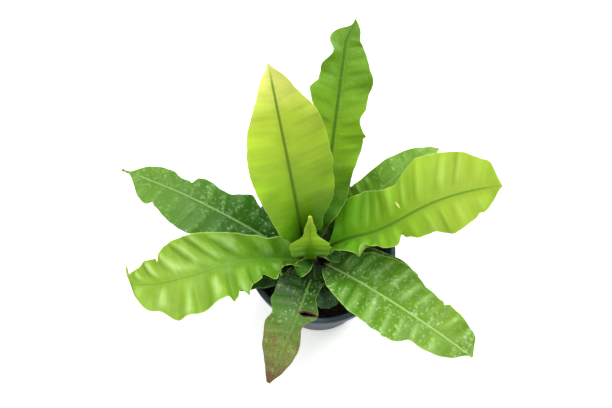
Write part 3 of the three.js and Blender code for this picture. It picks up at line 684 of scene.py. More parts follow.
class Blade:
    """The blade of one frond as a surface over s, from foot to tip, and u, across."""

    def __init__(self, spec):
        self.spec = spec
        self.length = spec["length"]
        angle = math.radians(spec["bearing"] + spec["turn"])
        radius = spec.get("root", ROOT_RADIUS)
        foot = [CROWN[0] + radius * math.cos(angle), CROWN[1] + radius * math.sin(angle)]
        middles = (np.arange(SPINE_STEPS) + 0.5) / SPINE_STEPS
        steps = self.heading(middles)[0] * self.length / SPINE_STEPS
        start = np.array([[*foot, spec["rise"]]])
        self.spine = np.concatenate([start, start + np.cumsum(steps, 0)])

    def heading(self, s):
        """Direction of the midrib, the direction to its left and the way the top looks."""
        lift = np.radians(along(self.spec["lift"], s))
        turn = np.radians(self.spec["bearing"] + along(self.spec["sweep"], s))
        forward = np.stack(
            [np.cos(lift) * np.cos(turn), np.cos(lift) * np.sin(turn), np.sin(lift)], -1
        )
        side = np.stack([-np.sin(turn), np.cos(turn), 0 * turn], -1)
        return forward, side, np.cross(forward, side)

    def spine_point(self, s):
        """Point on the midrib, which runs on straight before the foot and after the tip."""
        x = np.clip(s, 0, 1) * SPINE_STEPS
        steps = np.arange(SPINE_STEPS + 1)
        point = np.stack([np.interp(x, steps, self.spine[:, k]) for k in range(3)], -1)
        foot, tip = self.heading(np.array([0.0, 1.0]))[0]
        point = point + foot * (np.minimum(s, 0) * self.length)[..., None]
        return point + tip * (np.maximum(s - 1, 0) * self.length)[..., None]

    def half_width(self, s, u):
        """Half width with its cuts and lobes, and without them."""
        spec = self.spec
        level = (0, 0)
        left = along(spec["left"], s) + along(spec.get("trim_left", level), s)
        right = along(spec["right"], s) + along(spec.get("trim_right", level), s)
        plain = np.maximum(np.where(u >= 0, left, right), EDGE_HALF_WIDTH)
        plain = plain * (1 + 0.45 * np.clip(s * self.length / STALK, -1, 0))
        end = spec.get("end", 1)
        if end < 1:
            plain = plain * np.sqrt(np.clip((end - s) / END_ROUNDING, 0, 1))
        beyond = np.clip((s - 1) * self.length / spec.get("tail", 1), 0, 1)
        bulb = spec.get("bulb", 0) * np.exp(-((beyond - 0.8) ** 2) / 0.02)
        plain = np.where(s > 1, 0.45 + 1.1 * (1 - beyond) ** 2 + bulb, plain)
        run = s * self.length
        fade = smoothstep(0, 0.1, s) * smoothstep(1, 0.93, s)
        jitter = flank_waver(run / 4.5, u, spec["seed"])
        change = -0.35 * fade * jitter
        for side, place, spread, depth in spec.get("margin", ()):
            near = np.exp(-(((s - place) / spread) ** 2))
            change = change + np.where(u * side > 0, depth * near, 0)
        outer = smoothstep(0.5, 1, np.abs(u))
        return np.maximum(plain * np.abs(u) - change * outer, 0.12 * np.abs(u)), plain

    def point(self, s, u):
        """Middle layer of the blade."""
        spec = self.spec
        forward, side, up = self.heading(s)
        reach, plain = self.half_width(s, u)
        run = s * self.length
        size = np.abs(u)
        fold = np.radians(along(spec["channel"], s))
        fade = np.clip(s / 0.12, 0, 1) * np.clip((1 - s) / 0.12, 0, 1)
        wave = np.where(u >= 0, self.ripple("ripple_left", s), self.ripple("ripple_right", s))
        height = reach * np.sin(fold) + fade * size**1.6 * wave
        across = reach * np.cos(fold)
        height = height + self.pleats(s, u, reach) * smoothstep(0, 0.1, s)
        for flank, place, spread, pitch, tall in spec.get("frill", ()):
            near = np.exp(-(((s - place) / spread) ** 4)) * (u * flank > 0)
            wave = np.sin(2 * np.pi * run / pitch + 1.3 * waver(run / 7, 90 + spec["seed"]))
            height = height + tall * near * size**4 * wave
        for flank, place, spread, begin, degrees in spec.get("curl", ()):
            near = np.exp(-(((s - place) / spread) ** 2)) * (u * flank > 0)
            turn = np.radians(degrees) * near
            strip = np.maximum(plain * (1 - begin), 0.5)
            share = np.clip((size - begin) / (1 - begin), 0, 1)
            bend = np.maximum(turn, 1e-4)
            flat = strip * share
            across = across + (strip / bend * np.sin(bend * share) - flat)
            height = height + strip / bend * (1 - np.cos(bend * share))
        aim, start = spec.get("sway", (0, 0.9))
        shift = aim * np.clip((s - start) / (1 - start), 0, 2) ** 2
        point = self.spine_point(s)
        point = point + side * (np.sign(u) * across + shift)[..., None]
        return point + up * height[..., None]

    def ripple(self, key, s):
        """Height of the waves of one margin."""
        count, tall, phase = self.spec[key]
        turn = 2 * np.pi * (count * s + phase)
        return tall * (np.sin(turn) + 0.3 * np.sin(1.7 * turn + 1.3))

    def pleats(self, s, u, reach):
        """Soft pleats that follow the veins, deepest halfway to the margin."""
        tall, pitch = self.spec["pleat"]
        seed = self.spec["seed"]
        left, right = self.spec.get("slant", (0.3, 0.3))
        vein = s * self.length - np.where(u >= 0, left, right) * reach
        drift = 1.6 * flank_waver(vein / (1.6 * pitch), u, seed)
        phase = 2 * np.pi * vein / pitch + drift
        size = np.abs(u)
        strong = 0.65 + 0.35 * flank_waver(vein / (2.3 * pitch), u, seed + 20)
        shape = np.sin(phase) + 0.3 * np.sin(2.1 * phase + 0.7)
        room = smoothstep(0.05, 0.45, size) * (1 - 0.35 * smoothstep(0.75, 1, size))
        return tall * strong * shape * room * smoothstep(1, 0.9, s)

    def keel(self, s, reach):
        """Depth of the tapering midrib under the blade."""
        rise = np.sqrt(np.clip(s, 0, 1))
        rib = 2.6 - 1.9 * np.clip(s, 0, 1)
        depth = 2.4 - 2.1 * rise + 0.5 * np.clip(-s * self.length / STALK, 0, 1)
        return depth * np.maximum(0, 1 - (reach / rib) ** 2)

    def rib_relief(self, s, reach):
        """Groove or ridge of the midrib on the top of the blade."""
        wide = 1.5 - 0.8 * np.clip(s, 0, 1)
        line = np.exp(-((reach / (0.75 * wide)) ** 2))
        if self.spec["rib"] > 0:
            return 0.5 * wide * line
        return -0.4 * wide * line + 0.25 * wide * np.exp(-(((reach / wide) - 1.7) ** 2) / 0.5)


def crowded(count, pull):
    """Places from -1 to 1, closer together at both margins and at the midrib."""
    t = np.linspace(-1, 1, 2 * count + 1)
    return t - pull * np.sin(2 * np.pi * t) / (2 * np.pi)


def blade_grid(blade):
    """s and u of every point, the cells that are kept, and how near each point is to a tear."""
    spec = blade.spec
    count, half = SMALL_GRID if "small" in spec else FULL_GRID
    stalk = np.linspace(-STALK / blade.length, 0, 7)[:-1]
    tail = 1 + np.linspace(0, spec.get("tail", 0) / blade.length, 9)[1:]
    body = np.linspace(0, spec.get("end", 1), count + 1)
    s = np.concatenate([stalk, body, tail if "tail" in spec else []])
    u = crowded(half, CROWDING)
    kept = np.ones((len(s) - 1, len(u) - 1), bool)
    rows, columns = np.meshgrid(s, u, indexing="ij")
    if "tear" in spec:
        return open_tear(blade, rows, columns, kept)
    return rows, columns, kept, np.zeros_like(rows)


def open_tear(blade, rows, columns, kept):
    """Parts the grid along the tear of a blade and leaves the cells in the slit out."""
    tear = blade.spec["tear"]
    s = rows[:, 0]
    slot = int(np.argmin(np.abs(s - tear["s"])))
    width = along(blade.spec["left"], tear["s"])
    off = (columns - tear["u"]) * width
    half_length = tear["length"] / 2
    inside = np.clip(1 - (off / half_length) ** 2, 0, 1)
    inside = inside * (1 - 0.55 * np.clip(off / half_length, -1, 1))
    lean = np.exp(-((off / (1.4 * half_length)) ** 4))
    distance = (rows - tear["s"]) * blade.length
    local = np.exp(-((distance / 7) ** 2))
    sign = np.where(rows > s[slot] + 1e-9, 1, -1)
    push = sign * inside * tear["width"] / 2 * np.exp(-np.abs(distance) / 5)
    push = push - off * math.tan(math.radians(tear["slant"])) * lean * local
    kept[slot] = ~((inside[slot, 1:] > 0) & (inside[slot, :-1] > 0))
    beyond = np.maximum(np.abs(off) - half_length, 0)
    torn = np.clip(1 - np.hypot(distance, beyond) / 2.2, 0, 1)
    return rows + push / blade.length, columns, kept, torn


def shell_faces(kept):
    """Faces of a closed double layer over a grid of kept cells, with walls at each edge."""
    rows, columns = kept.shape
    layer = (rows + 1) * (columns + 1)
    index = np.arange(layer).reshape(rows + 1, columns + 1)
    a, b = index[:-1, :-1][kept], index[1:, :-1][kept]
    c, d = index[1:, 1:][kept], index[:-1, 1:][kept]
    faces = [np.stack([a, b, c, d], 1), np.stack([a, d, c, b], 1) + layer]
    padded = np.pad(kept, 1)
    for near, first, second in (
        (padded[:-2, 1:-1], index[:-1, :-1], index[:-1, 1:]),
        (padded[2:, 1:-1], index[1:, 1:], index[1:, :-1]),
        (padded[1:-1, :-2], index[1:, :-1], index[:-1, :-1]),
        (padded[1:-1, 2:], index[:-1, 1:], index[1:, 1:]),
    ):
        edge = kept & ~near
        one, two = first[edge], second[edge]
        faces.append(np.stack([one, two, two + layer, one + layer], 1))
    return np.concatenate(faces).tolist()


def add_frond(spec, settings, nodes):
    """Adds one blade as a closed mesh, with what its material needs stored on it."""
    blade = Blade(spec)
    s, u, kept, torn = blade_grid(blade)
    middle = blade.point(s, u)
    reach, plain = blade.half_width(s, u)
    ahead = np.gradient(middle, axis=0)
    across = np.gradient(middle, axis=1)
    normal = np.cross(ahead, across)
    normal /= np.maximum(np.linalg.norm(normal, axis=-1, keepdims=True), 1e-9)
    full, thin = settings.thickness / MM, settings.edge / MM
    thick = thin + (full - thin) * (1 - np.abs(u) ** 5)
    top = thick / 2 + blade.rib_relief(s, reach) * smoothstep(1.0, 0.85, s)
    under = thick / 2 + blade.keel(s, reach)
    points = np.concatenate(
        [
            (middle + normal * top[..., None]).reshape(-1, 3),
            (middle - normal * under[..., None]).reshape(-1, 3),
        ]
    )
    margin = plain - np.abs(u) * plain
    place = np.stack([s * blade.length, np.sign(u) * reach, margin], -1).reshape(-1, 3)
    upper = np.stack([s, u, np.ones_like(s)], -1).reshape(-1, 3)
    lower = np.stack([s, u, np.zeros_like(s)], -1).reshape(-1, 3)
    # The pleats' crests are stored beside the tear; the material paints the crests lighter as a
    # painted highlight.
    crest = blade.pleats(s, u, reach) / spec["pleat"][0]
    wear = np.stack([torn, crest, np.zeros_like(torn)], -1).reshape(-1, 3)
    values = {
        "place": np.concatenate([place, place]),
        "share": np.concatenate([upper, lower]),
        "wear": np.concatenate([wear, wear]),
    }
    return add_piece(
        f"{spec['name']}_blade", points, shell_faces(kept), leaf_finish(spec, settings),
        spec["slot"], nodes, values,
    )


class Leaf(Finish):
    """The material of one blade, painted in layers over the blade's own plane."""

    def __init__(self, spec, settings):
        super().__init__(f"{spec['name']}_leaf")
        self.spec = spec
        self.settings = settings
        self.seed = 37.0 * spec["seed"]
        self.run, self.offset, self.margin = self.split(self.mesh_value("place"))
        self.s, self.u, self.upper = self.split(self.mesh_value("share"))
        self.torn, self.crest, _ = self.split(self.mesh_value("wear"))
        self.crest_light = spec.get("crest", 0.05)
        self.flank = abs(self.offset)
        vein = self.run - self.flank * 0.3
        self.streaks = self.grain(self.join(vein, self.flank * 0.12, self.seed), 2.6, 3.0)
        self.mottle = self.cloud(0.0, 17.0, 3.0)
        pitch = settings.vein_pitch / MM
        self.fine = (vein * (2 * math.pi / pitch) + self.streaks * 5.0).sine()
        self.shade = self.base_tone()
        self.rough = settings.roughness + (self.mottle - 0.5) * 0.1

    def cloud(self, shift, size, detail=2.0):
        """Noise over the blade. Each shift gives a pattern of its own."""
        return self.grain(self.join(self.run, self.offset, self.seed + shift), size, detail)

    def paint(self, strength, tone):
        """Lays a tone over the blade, as far as strength says."""
        self.shade = self.mix(strength, self.shade, tone)

    def base_tone(self):
        """Tones from foot to tip, a little darker near the midrib. Painted light: crests and the
        left half lighter, the right half darker.
        """
        stops = list(zip(TONE_STOPS, [tint(code) for code in self.spec["tones"]]))
        place = self.s + (self.mottle - 0.5) * 0.12
        tone = self.node("ShaderNodeValToRGB", {"stops": stops}, {"Fac": place})
        # Painted light: the pleats' crests are painted lighter as a painted highlight, and side
        # paints the left half lighter and the right half darker as painted light and shade.
        light = 0.72 + (self.mottle - 0.5) * 0.22 + (self.streaks - 0.5) * 0.16
        light = light + self.fine * 0.025 + self.crest * self.crest_light
        light = light + self.u * self.spec.get("side", 0.0) - self.flank.ease(7.0, 1.0) * 0.05
        return self.scale(tone, light)

    def gleam(self, strength):
        """Painted highlight: pale bands along the crests of the pleats."""
        broad = self.cloud(5.0, 20.0)
        band = (self.crest + (broad - 0.5) * 3.0 + (self.streaks - 0.5)).ease(-0.2, 1.7)
        band = band * self.flank.ease(0.0, 8.0) * self.margin.ease(0.0, 5.0)
        self.paint(band * strength, tuple(self.settings.gleam_tone))

    def haze_and_sheen(self, strength):
        """Pale film in clouds, stronger on the crests: mostly a painted sheen of the soft light,
        partly a mineral film.
        """
        cloud = self.cloud(9.0, 11.0, 4.0)
        # Painted sheen: the film is stronger on the pleats' crests, where light would glance off
        # them.
        film = (cloud + self.crest * (1.6 * self.crest_light)).ease(0.47, 0.72)
        film = film * (self.streaks.ease(0.3, 0.7) * 0.6 + 0.4)
        film = film * (0.6 * strength)
        self.paint(film, tuple(self.settings.haze_and_sheen_tone))
        self.rough = self.rough + film * 0.25

    def specks(self, strength):
        """Dried water spots in patches: soft blots with small and large dots."""
        tone = tuple(self.settings.speck_tone)
        patch = self.cloud(4.0, 16.0).ease(0.4, 0.6)
        blot = self.grain(self.join(self.run, self.offset * 1.2, self.seed + 6.0), 3.0, 3.0)
        # The blots are a little stronger on the pleats' crests, where they are partly a painted
        # highlight on the dried spots.
        blot = (blot + self.crest * 0.05).ease(0.54, 0.7) * (patch * 0.6 + 0.4)
        self.paint(blot * (0.6 * strength), tone)
        bent = self.cloud(8.0, 1.6)
        wobble = self.join(self.run + bent * 1.2, self.offset - bent * 1.2, self.seed)
        for size, share, strong in ((1.2, 0.4, 0.35), (2.5, 0.32, 0.5)):
            cell = {"Vector": wobble, "Scale": 1 / size}
            near = self.node("ShaderNodeTexVoronoi", None, cell, "Distance")
            chance = self.split(self.node("ShaderNodeTexVoronoi", None, cell, "Color"))[0]
            spot = near.ease(0.5, 0.05) * (chance < share * strength) * patch * strong
            self.paint(spot, tone)
            self.rough = self.rough + spot * 0.2

    def midrib(self, raised, strength, tone):
        """The line of the midrib, wider where it is a groove. Along a groove the dark line is
        painted shade in the groove; along a raised rib it is the rib's own colour.
        """
        wide = 1.3 - self.s * 0.7 if raised else 2.1 - self.s * 1.2
        line = (self.flank / wide).ease(1.25, 0.4) * self.s.ease(1.0, 0.9)
        self.paint(line * strength, tint(tone))

    def edge(self, strength):
        """Painted highlight: the thin pale line along the margin, where the edge catches the light.
        """
        self.paint(self.margin.ease(0.8, 0.25) * strength, tuple(self.settings.edge_highlight_tone))

    def scar(self, s, aside):
        """A short pale mark across the veins."""
        reach = self.offset - aside
        mark = abs(self.run - s * self.spec["length"] + reach * 0.25 + (self.streaks - 0.5) * 2)
        mark = mark.ease(1.1, 0.3) * abs(reach).ease(3.6, 1.8)
        self.paint(mark * 0.75, tint("#d9d98a"))

    def underside(self):
        """A paler underside with its keel, and the dark stalk."""
        keel_tone = tuple(self.settings.keel_tone)
        below = self.mix(0.45, self.shade, tuple(self.settings.under_tone))
        keel = self.flank.ease(2.6, 1.6) * self.s.ease(0.75, 0.15)
        below = self.mix(keel * 0.8, below, keel_tone)
        self.shade = self.mix(self.upper, below, self.shade)
        self.paint(self.s.ease(0.02, -0.03) * 0.75, keel_tone)

    def rust(self, strength):
        """Dead tissue at the tip, on the margin, in patches, in dots and round the tear."""
        s = self.s
        ragged = (self.cloud(0.0, 5.0, 4.0) - 0.5) * 0.35
        tip = (s + ragged * 0.7).ease(0.84, 0.96)
        rim = (self.margin - ragged * 9.0).ease(1.6, 0.4) * s.ease(0.42, 0.55) * 0.8
        patches = self.cloud(2.0, 6.0, 3.0).ease(0.6, 0.72) * s.ease(0.48, 0.62) * 0.75
        dead = tip.larger(rim).larger(patches)
        self.paint(dead * strength * 0.75, tuple(self.settings.rust_tone))
        dots = self.cloud(3.0, 1.5).ease(0.57, 0.66) * (s + ragged).ease(0.42, 0.62)
        self.paint(dots * 0.7, tint("#56301f"))
        scorch = self.torn + ragged
        self.paint(scorch.ease(0.0, 0.4) * 0.6, tint("#6a3f26"))
        self.paint(scorch.ease(0.3, 0.7) * 0.8, tint("#2e1a14"))
        self.rough = self.rough + dead * 0.2

    def finished(self):
        """The material with the relief of its veins."""
        height = self.fine * 0.02 + (self.streaks - 0.5) * 0.12
        height = height + self.cloud(0.0, 0.5) * 0.02
        sockets = {
            "Base Color": self.shade,
            "Roughness": self.rough,
            "Specular IOR Level": 0.14,
            "Subsurface Weight": 0.12,
            "Subsurface Radius": (0.8, 1.0, 0.3),
            "Subsurface Scale": 0.0015,
        }
        return self.surface(sockets, height)


def leaf_finish(spec, settings):
    """Green blade: its tones first, then its painted highlight bands, its pale film painted mostly
    as sheen and what lies on it, and last what is dead.
    """
    leaf = Leaf(spec, settings)
    for key, layer in (("gleam", leaf.gleam), ("haze_and_sheen", leaf.haze_and_sheen), ("specks", leaf.specks)):
        if key in spec:
            layer(spec[key])
    # Along a grooved midrib the dark line is painted shade; a raised midrib keeps its own colour.
    leaf.midrib(spec["rib"] > 0, spec["rib_show"], spec["rib_and_groove_shade_tone"])
    # The pale margin line is a painted highlight.
    leaf.edge(spec["edge"])
    if "scar" in spec:
        leaf.scar(*spec["scar"])
    leaf.underside()
    if "rust" in spec:
        leaf.rust(spec["rust"])
    return leaf.finished()


def plastic_finish(settings):
    """Satin moulded plastic with a thin film of dust, in clouds and in streaks down the wall."""
    pot = Finish("pot_plastic")
    spot = pot.node("ShaderNodeTexCoord", None, None, "Object")
    x, y, z = pot.split(spot)
    cloud = pot.grain(spot, 0.018, 4.0)
    fine = pot.grain(spot, 0.0009, 3.0)
    drag = pot.grain(pot.join(x * 6.0, y * 6.0, z * 0.6), 0.02, 3.0)
    shade = pot.scale(tuple(settings.plastic), 0.94 + cloud * 0.12)
    dust = cloud.ease(0.4, 0.8) * 0.18 + drag.ease(0.45, 0.8) * 0.14
    shade = pot.mix(dust, shade, tuple(settings.dust))
    rough = settings.roughness + dust * 0.5 + (fine - 0.5) * 0.08
    height = (fine - 0.5) * 0.02 + (drag - 0.5) * 0.03
    return pot.surface(
        {"Base Color": shade, "Roughness": rough, "Specular IOR Level": 0.15}, height
    )


def peat_finish(name, tone, other, size, rough=0.92):
    """Dull, dark, crumbly stuff with two tones."""
    peat = Finish(name)
    spot = peat.node("ShaderNodeTexCoord", None, None, "Object")
    broad = peat.grain(spot, size, 4.0)
    fine = peat.grain(spot, size / 9, 4.0)
    shade = peat.mix(broad.ease(0.4, 0.68), tone, other)
    shade = peat.scale(shade, 0.6 + fine * 0.9)
    return peat.surface(
        {"Base Color": shade, "Roughness": rough - (fine - 0.5) * 0.1, "Specular IOR Level": 0.3},
        (fine - 0.5) * 0.5,
    )


class FERN_OT_pot(bpy.types.Operator):
    """Builds the moulded pot with its rounded lip, recessed base and drain holes"""

    bl_idname = "fern.pot"
    bl_label = "Pot"

    def execute(self, context):
        settings = context.scene.fern_pot
        rim = settings.rim_radius / MM
        top = settings.height / MM
        base = settings.base_radius / MM
        shoulder = rim - 5.6
        wall = 1.9
        profile = rounded(
            [
                (0, 1.0, 0), (34.5, 1.0, 0.6), (35.6, 0, 0.5), (base, 0, 0.9),
                (shoulder, 90, 1.2), (rim - 2.1, 90.9, 0.8), (rim - 1.2, 91.6, 0.7),
                (rim, top - 0.9, 0.9), (rim - 1.4, top, 1.1), (rim - 3.4, top, 1.1),
                (rim - 4.6, top - 1.2, 0.9), (rim - 5.5, 92.4, 0.9), (shoulder - wall, 90, 0.9),
                (base - wall, 3.6, 1.2), (base - 3.2, 3, 0.6), (0, 3, 0),
            ],
            5,
        )
        points, faces = lathe(profile, 192)
        pot = add_piece(
            "pot_moulded", points, faces, plastic_finish(settings), "pot_plastic", ("pot",)
        )
        drill_drains(pot)
        return {"FINISHED"}


def drill_drains(pot):
    """Cuts the drain holes through the floor of the pot."""
    posts, faces = [], []
    for k in range(DRAIN_COUNT):
        angle = 2 * math.pi * (k + 0.5) / DRAIN_COUNT
        ring, sides = lathe([(0, -1), (DRAIN_RADIUS, -1), (DRAIN_RADIUS, 5), (0, 5)], 32)
        ring = ring + [DRAIN_CIRCLE * math.cos(angle), DRAIN_CIRCLE * math.sin(angle), 0]
        faces += [[corner + len(posts) for corner in side] for side in sides]
        posts += ring.tolist()
    mesh = bpy.data.meshes.new("drain_cutter")
    mesh.from_pydata((np.array(posts) * MM).tolist(), [], faces)
    cutter = bpy.data.objects.new("drain_cutter", mesh)
    bpy.context.scene.collection.objects.link(cutter)
    holes = pot.modifiers.new("drains", "BOOLEAN")
    holes.object = cutter
    holes.solver = "EXACT"
    apply_modifiers(pot)
    bpy.data.objects.remove(cutter)
    remove_flat_faces(pot.data)


def remove_flat_faces(mesh):
    """Removes edges of no length and faces of no area, which a cut can leave."""
    clean = bmesh.new()
    clean.from_mesh(mesh)
    bmesh.ops.dissolve_degenerate(clean, dist=SMALLEST_EDGE, edges=clean.edges)
    clean.to_mesh(mesh)
    clean.free()


def apply_modifiers(piece):
    """Writes the result of the modifiers into the piece's own mesh."""
    graph = bpy.context.evaluated_depsgraph_get()
    done = bpy.data.meshes.new_from_object(piece.evaluated_get(graph))
    piece.modifiers.clear()
    old, piece.data = piece.data, done
    bpy.data.meshes.remove(old)


def mix_height(x, y):
    """Height of the top of the potting mix at a place, in millimetres."""
    broad = math.sin(0.21 * x + 1.1) * math.cos(0.24 * y - 0.4)
    low = math.sin(0.55 * x - 0.38 * y)
    return MIX_LEVEL + MIX_RELIEF * (broad + 0.5 * low)


class FERN_OT_mix(bpy.types.Operator):
    """Builds the body of potting mix with its grainy surface"""

    bl_idname = "fern.mix"
    bl_label = "Potting mix"

    def execute(self, context):
        settings = context.scene.fern_mix
        grain = settings.grain / MM
        wall = [(0, 3.3), (37.8, 3.3), (39, 5), (52, 89), (MIX_RADIUS, 91.4)]
        radii = [MIX_RADIUS - MIX_RADIUS * k / 115 for k in range(1, 116)]
        points, faces = lathe(wall + [(r, MIX_LEVEL) for r in radii], 200)
        for point in points:
            x, y, z = point
            if z > MIX_LEVEL - 1:
                reach = math.hypot(x, y)
                rough = noise.fractal(Vector((x * 0.45, y * 0.45, 3)), 0.7, 2.1, 4)
                lumps = noise.noise(Vector((x * 0.16, y * 0.16, 8)))
                point[2] = mix_height(x, y) + grain * (rough + 0.8 * lumps)
                point[2] -= 1.4 * float(smoothstep(46, MIX_RADIUS, reach))
        peat = peat_finish("peat", tuple(settings.peat), tint("#2a211c"), 0.004)
        add_piece("mix_surface", points, faces, peat, "potting_mix", ("potting_mix",))
        return {"FINISHED"}


def lump(chance, size, flat):
    """Points and faces of one irregular crumb."""
    points, faces = LUMP_SHAPES[chance.randrange(len(LUMP_SHAPES))]
    turn = Matrix.Rotation(chance.uniform(0, 6.3), 3, "Z")
    turn = turn @ Matrix.Rotation(chance.uniform(-0.5, 0.5), 3, "X")
    stretch = np.array([size * chance.uniform(0.7, 1.5), size, size * flat])
    return (points * stretch) @ np.array(turn).T, faces


def lump_shapes(count):
    """A few knobbly balls to pick crumbs from."""
    shapes = []
    for k in range(count):
        points, faces = lathe(
            [(math.sin(math.pi * t / 6), -math.cos(math.pi * t / 6)) for t in range(7)], 9
        )
        for point in points:
            swell = noise.fractal(Vector(point) * 1.3 + Vector((k * 5.0, 0, 0)), 0.9, 2.0, 3)
            point *= 1 + 0.42 * swell
        shapes.append((points, faces))
    return shapes


LUMP_SHAPES = lump_shapes(7)


def scatter(chance, reach, clear):
    """A random place on the potting mix, outside the crown."""
    while True:
        radius = reach * math.sqrt(chance.random())
        angle = chance.uniform(0, 2 * math.pi)
        x, y = radius * math.cos(angle), radius * math.sin(angle)
        if math.hypot(x - CROWN[0], y - CROWN[1]) > clear:
            return x, y


def gather(parts):
    """Points and faces of many small shapes as one mesh."""
    points, faces, count = [], [], 0
    for part, loops in parts:
        points.append(part)
        faces += [[corner + count for corner in loop] for loop in loops]
        count += len(part)
    return np.concatenate(points), faces


class FERN_OT_bits(bpy.types.Operator):
    """Scatters crumbs, bark chips and root fibres over the potting mix"""

    bl_idname = "fern.bits"
    bl_label = "Crumbs, bark and fibres"

    def execute(self, context):
        settings = context.scene.fern_mix
        chance = random.Random(5)
        crumbs, chips, fibres = [], [], []
        for _ in range(settings.crumbs):
            x, y = scatter(chance, 50.5, 11)
            size = 0.45 + 1.1 * chance.random() ** 3
            part, loops = lump(chance, size, chance.uniform(0.5, 0.9))
            crumbs.append((part + [x, y, mix_height(x, y) + 0.25 * size], loops))
        for _ in range(settings.chips):
            x, y = scatter(chance, 48, 13)
            part, loops = lump(chance, chance.uniform(0.8, 1.6), 0.35)
            part[:, 0] *= chance.uniform(1.3, 2.2)
            chips.append((part + [x, y, mix_height(x, y) + 0.6], loops))
        for _ in range(settings.fibres):
            x, y = scatter(chance, 47, 13)
            fibres.append(fibre(chance, x, y))
        peat = peat_finish("crumb_peat", tuple(settings.peat), tint("#3a2c24"), 0.003)
        bark = peat_finish("bark", tuple(settings.bark), tint("#453228"), 0.002, 0.8)
        root = peat_finish("root_fibre", tint("#3b2a1e"), tint("#6a5038"), 0.004, 0.85)
        add_piece("mix_crumbs", *gather(crumbs), peat, "potting_mix")
        add_piece("mix_bark", *gather(chips), bark, "potting_mix")
        add_piece("mix_fibres", *gather(fibres), root, "potting_mix")
        return {"FINISHED"}


def tube(line, radii, sides=6):
    """Closed tube along a line of points."""
    line = np.asarray(line, float)
    ahead = np.gradient(line, axis=0)
    ahead /= np.linalg.norm(ahead, axis=1, keepdims=True)
    aside = np.cross(ahead, [0.1, 0.2, 1.0])
    aside /= np.linalg.norm(aside, axis=1, keepdims=True)
    above = np.cross(aside, ahead)
    angle = np.arange(sides) * 2 * np.pi / sides
    ring = np.cos(angle)[:, None, None] * aside + np.sin(angle)[:, None, None] * above
    points = (line + ring * np.asarray(radii)[:, None]).transpose(1, 0, 2).reshape(-1, 3)
    faces = []
    for i in range(len(line) - 1):
        for k in range(sides):
            n = (k + 1) % sides
            faces.append([i * sides + k, i * sides + n, (i + 1) * sides + n, (i + 1) * sides + k])
    faces.append(list(range(sides))[::-1])
    faces.append([(len(line) - 1) * sides + k for k in range(sides)])
    return points, faces


def fibre(chance, x, y):
    """A thin bent root lying on the mix."""
    heading = chance.uniform(0, 6.3)
    line = []
    for k in range(9):
        line.append((x, y, mix_height(x, y) + 0.35 + 0.5 * math.sin(k * 1.1)))
        heading += chance.uniform(-0.5, 0.5)
        x += math.cos(heading)
        y += math.sin(heading)
    radius = chance.uniform(0.12, 0.26)
    return tube(line, [radius * (1 - 0.06 * k) for k in range(9)])


class FERN_OT_crown(bpy.types.Operator):
    """Builds the short rhizome and the dark scales that cover it"""

    bl_idname = "fern.crown"
    bl_label = "Crown"

    def execute(self, context):
        settings = context.scene.fern_crown
        outline = [
            (0, 86), (11.5, 86), (12.2, 90), (12.3, 93), (9.3, 95.6), (8.2, 99), (7.6, 102),
            (6.4, 105), (4.4, 107.4), (2.2, 108.5), (0, 108.8),
        ]
        points, faces = lathe(rounded([(*p, 1.0) for p in outline], 3), 96)
        for point in points:
            swell = noise.fractal(Vector(point) * 0.35, 0.8, 2.1, 4)
            point[:2] *= 1 + 0.05 * swell
        points[:, :2] += CROWN
        chance = random.Random(11)
        size = settings.scale_length / MM
        parts = [(points, faces)]
        parts += [stub(spec) for spec in FRONDS]
        parts += [scale_leaf(chance, size) for _ in range(settings.scales)]
        scaly = peat_finish(
            "crown_scales", tuple(settings.scale_tone), tint("#261a1a"), 0.003, 0.6
        )
        add_piece("crown_scaly", *gather(parts), scaly, "crown", ("crown",))
        return {"FINISHED"}


def stub(spec):
    """Short thick foot of one frond, from inside the crown to the stalk."""
    blade = Blade(spec)
    foot = blade.spine[0]
    forward = blade.heading(np.zeros(1))[0][0]
    line = [foot - forward * (13 - 1.6 * k) for k in range(6)]
    return tube(line, [2.6, 2.6, 2.5, 2.4, 2.1, 1.2], 14)


def scale_leaf(chance, size):
    """One thin pointed scale lying on the side of the crown."""
    angle = chance.uniform(0, 2 * math.pi)
    height = 93.5 + 14 * chance.random() ** 1.3
    radius = float(np.interp(height, [93, 95.6, 99, 104, 107, 109], [12, 9.3, 8.2, 7, 5, 2]))
    out = np.array([math.cos(angle), math.sin(angle), 0])
    side = np.array([-out[1], out[0], 0])
    size *= chance.uniform(0.55, 1.15)
    wide = size * chance.uniform(0.1, 0.16)
    tilt = chance.uniform(-0.5, 0.5)
    lean = chance.uniform(0.1, 0.55)
    start = np.array([*CROWN, height]) + out * (radius - 0.4)
    rows = []
    for k in range(6):
        t = k / 5
        centre = start + out * (size * lean * t * t + 0.3) + np.array([0, 0, size * 0.75 * t])
        centre = centre + side * tilt * size * t
        half = wide * (1 - t) ** 0.7 * (0.5 + 1.4 * t) + 0.02
        rows += [centre - side * half, centre + out * 0.16, centre + side * half]
    rows += [row - out * 0.12 for row in rows]
    kept = np.ones((5, 2), bool)
    return np.array(rows), shell_faces(kept)


class FERN_OT_fronds(bpy.types.Operator):
    """Builds every frond as a thin pleated blade on a tapering stalk"""

    bl_idname = "fern.fronds"
    bl_label = "Fronds"

    def execute(self, context):
        for spec in FRONDS:
            add_frond(spec, context.scene.fern_fronds, (spec["name"],))
        for spec in LOBES:
            add_frond(spec, context.scene.fern_fronds, ())
        return {"FINISHED"}


def lamp(name, place, target, size, power):
    """Adds a round soft lamp that looks at a target."""
    light = bpy.data.lights.new(name, "AREA")
    light.shape = "DISK"
    light.size = size
    light.energy = power
    holder = bpy.data.objects.new(name, light)
    holder.location = place
    holder.rotation_euler = (Vector(target) - Vector(place)).to_track_quat("-Z", "Y").to_euler()
    bpy.context.scene.collection.objects.link(holder)


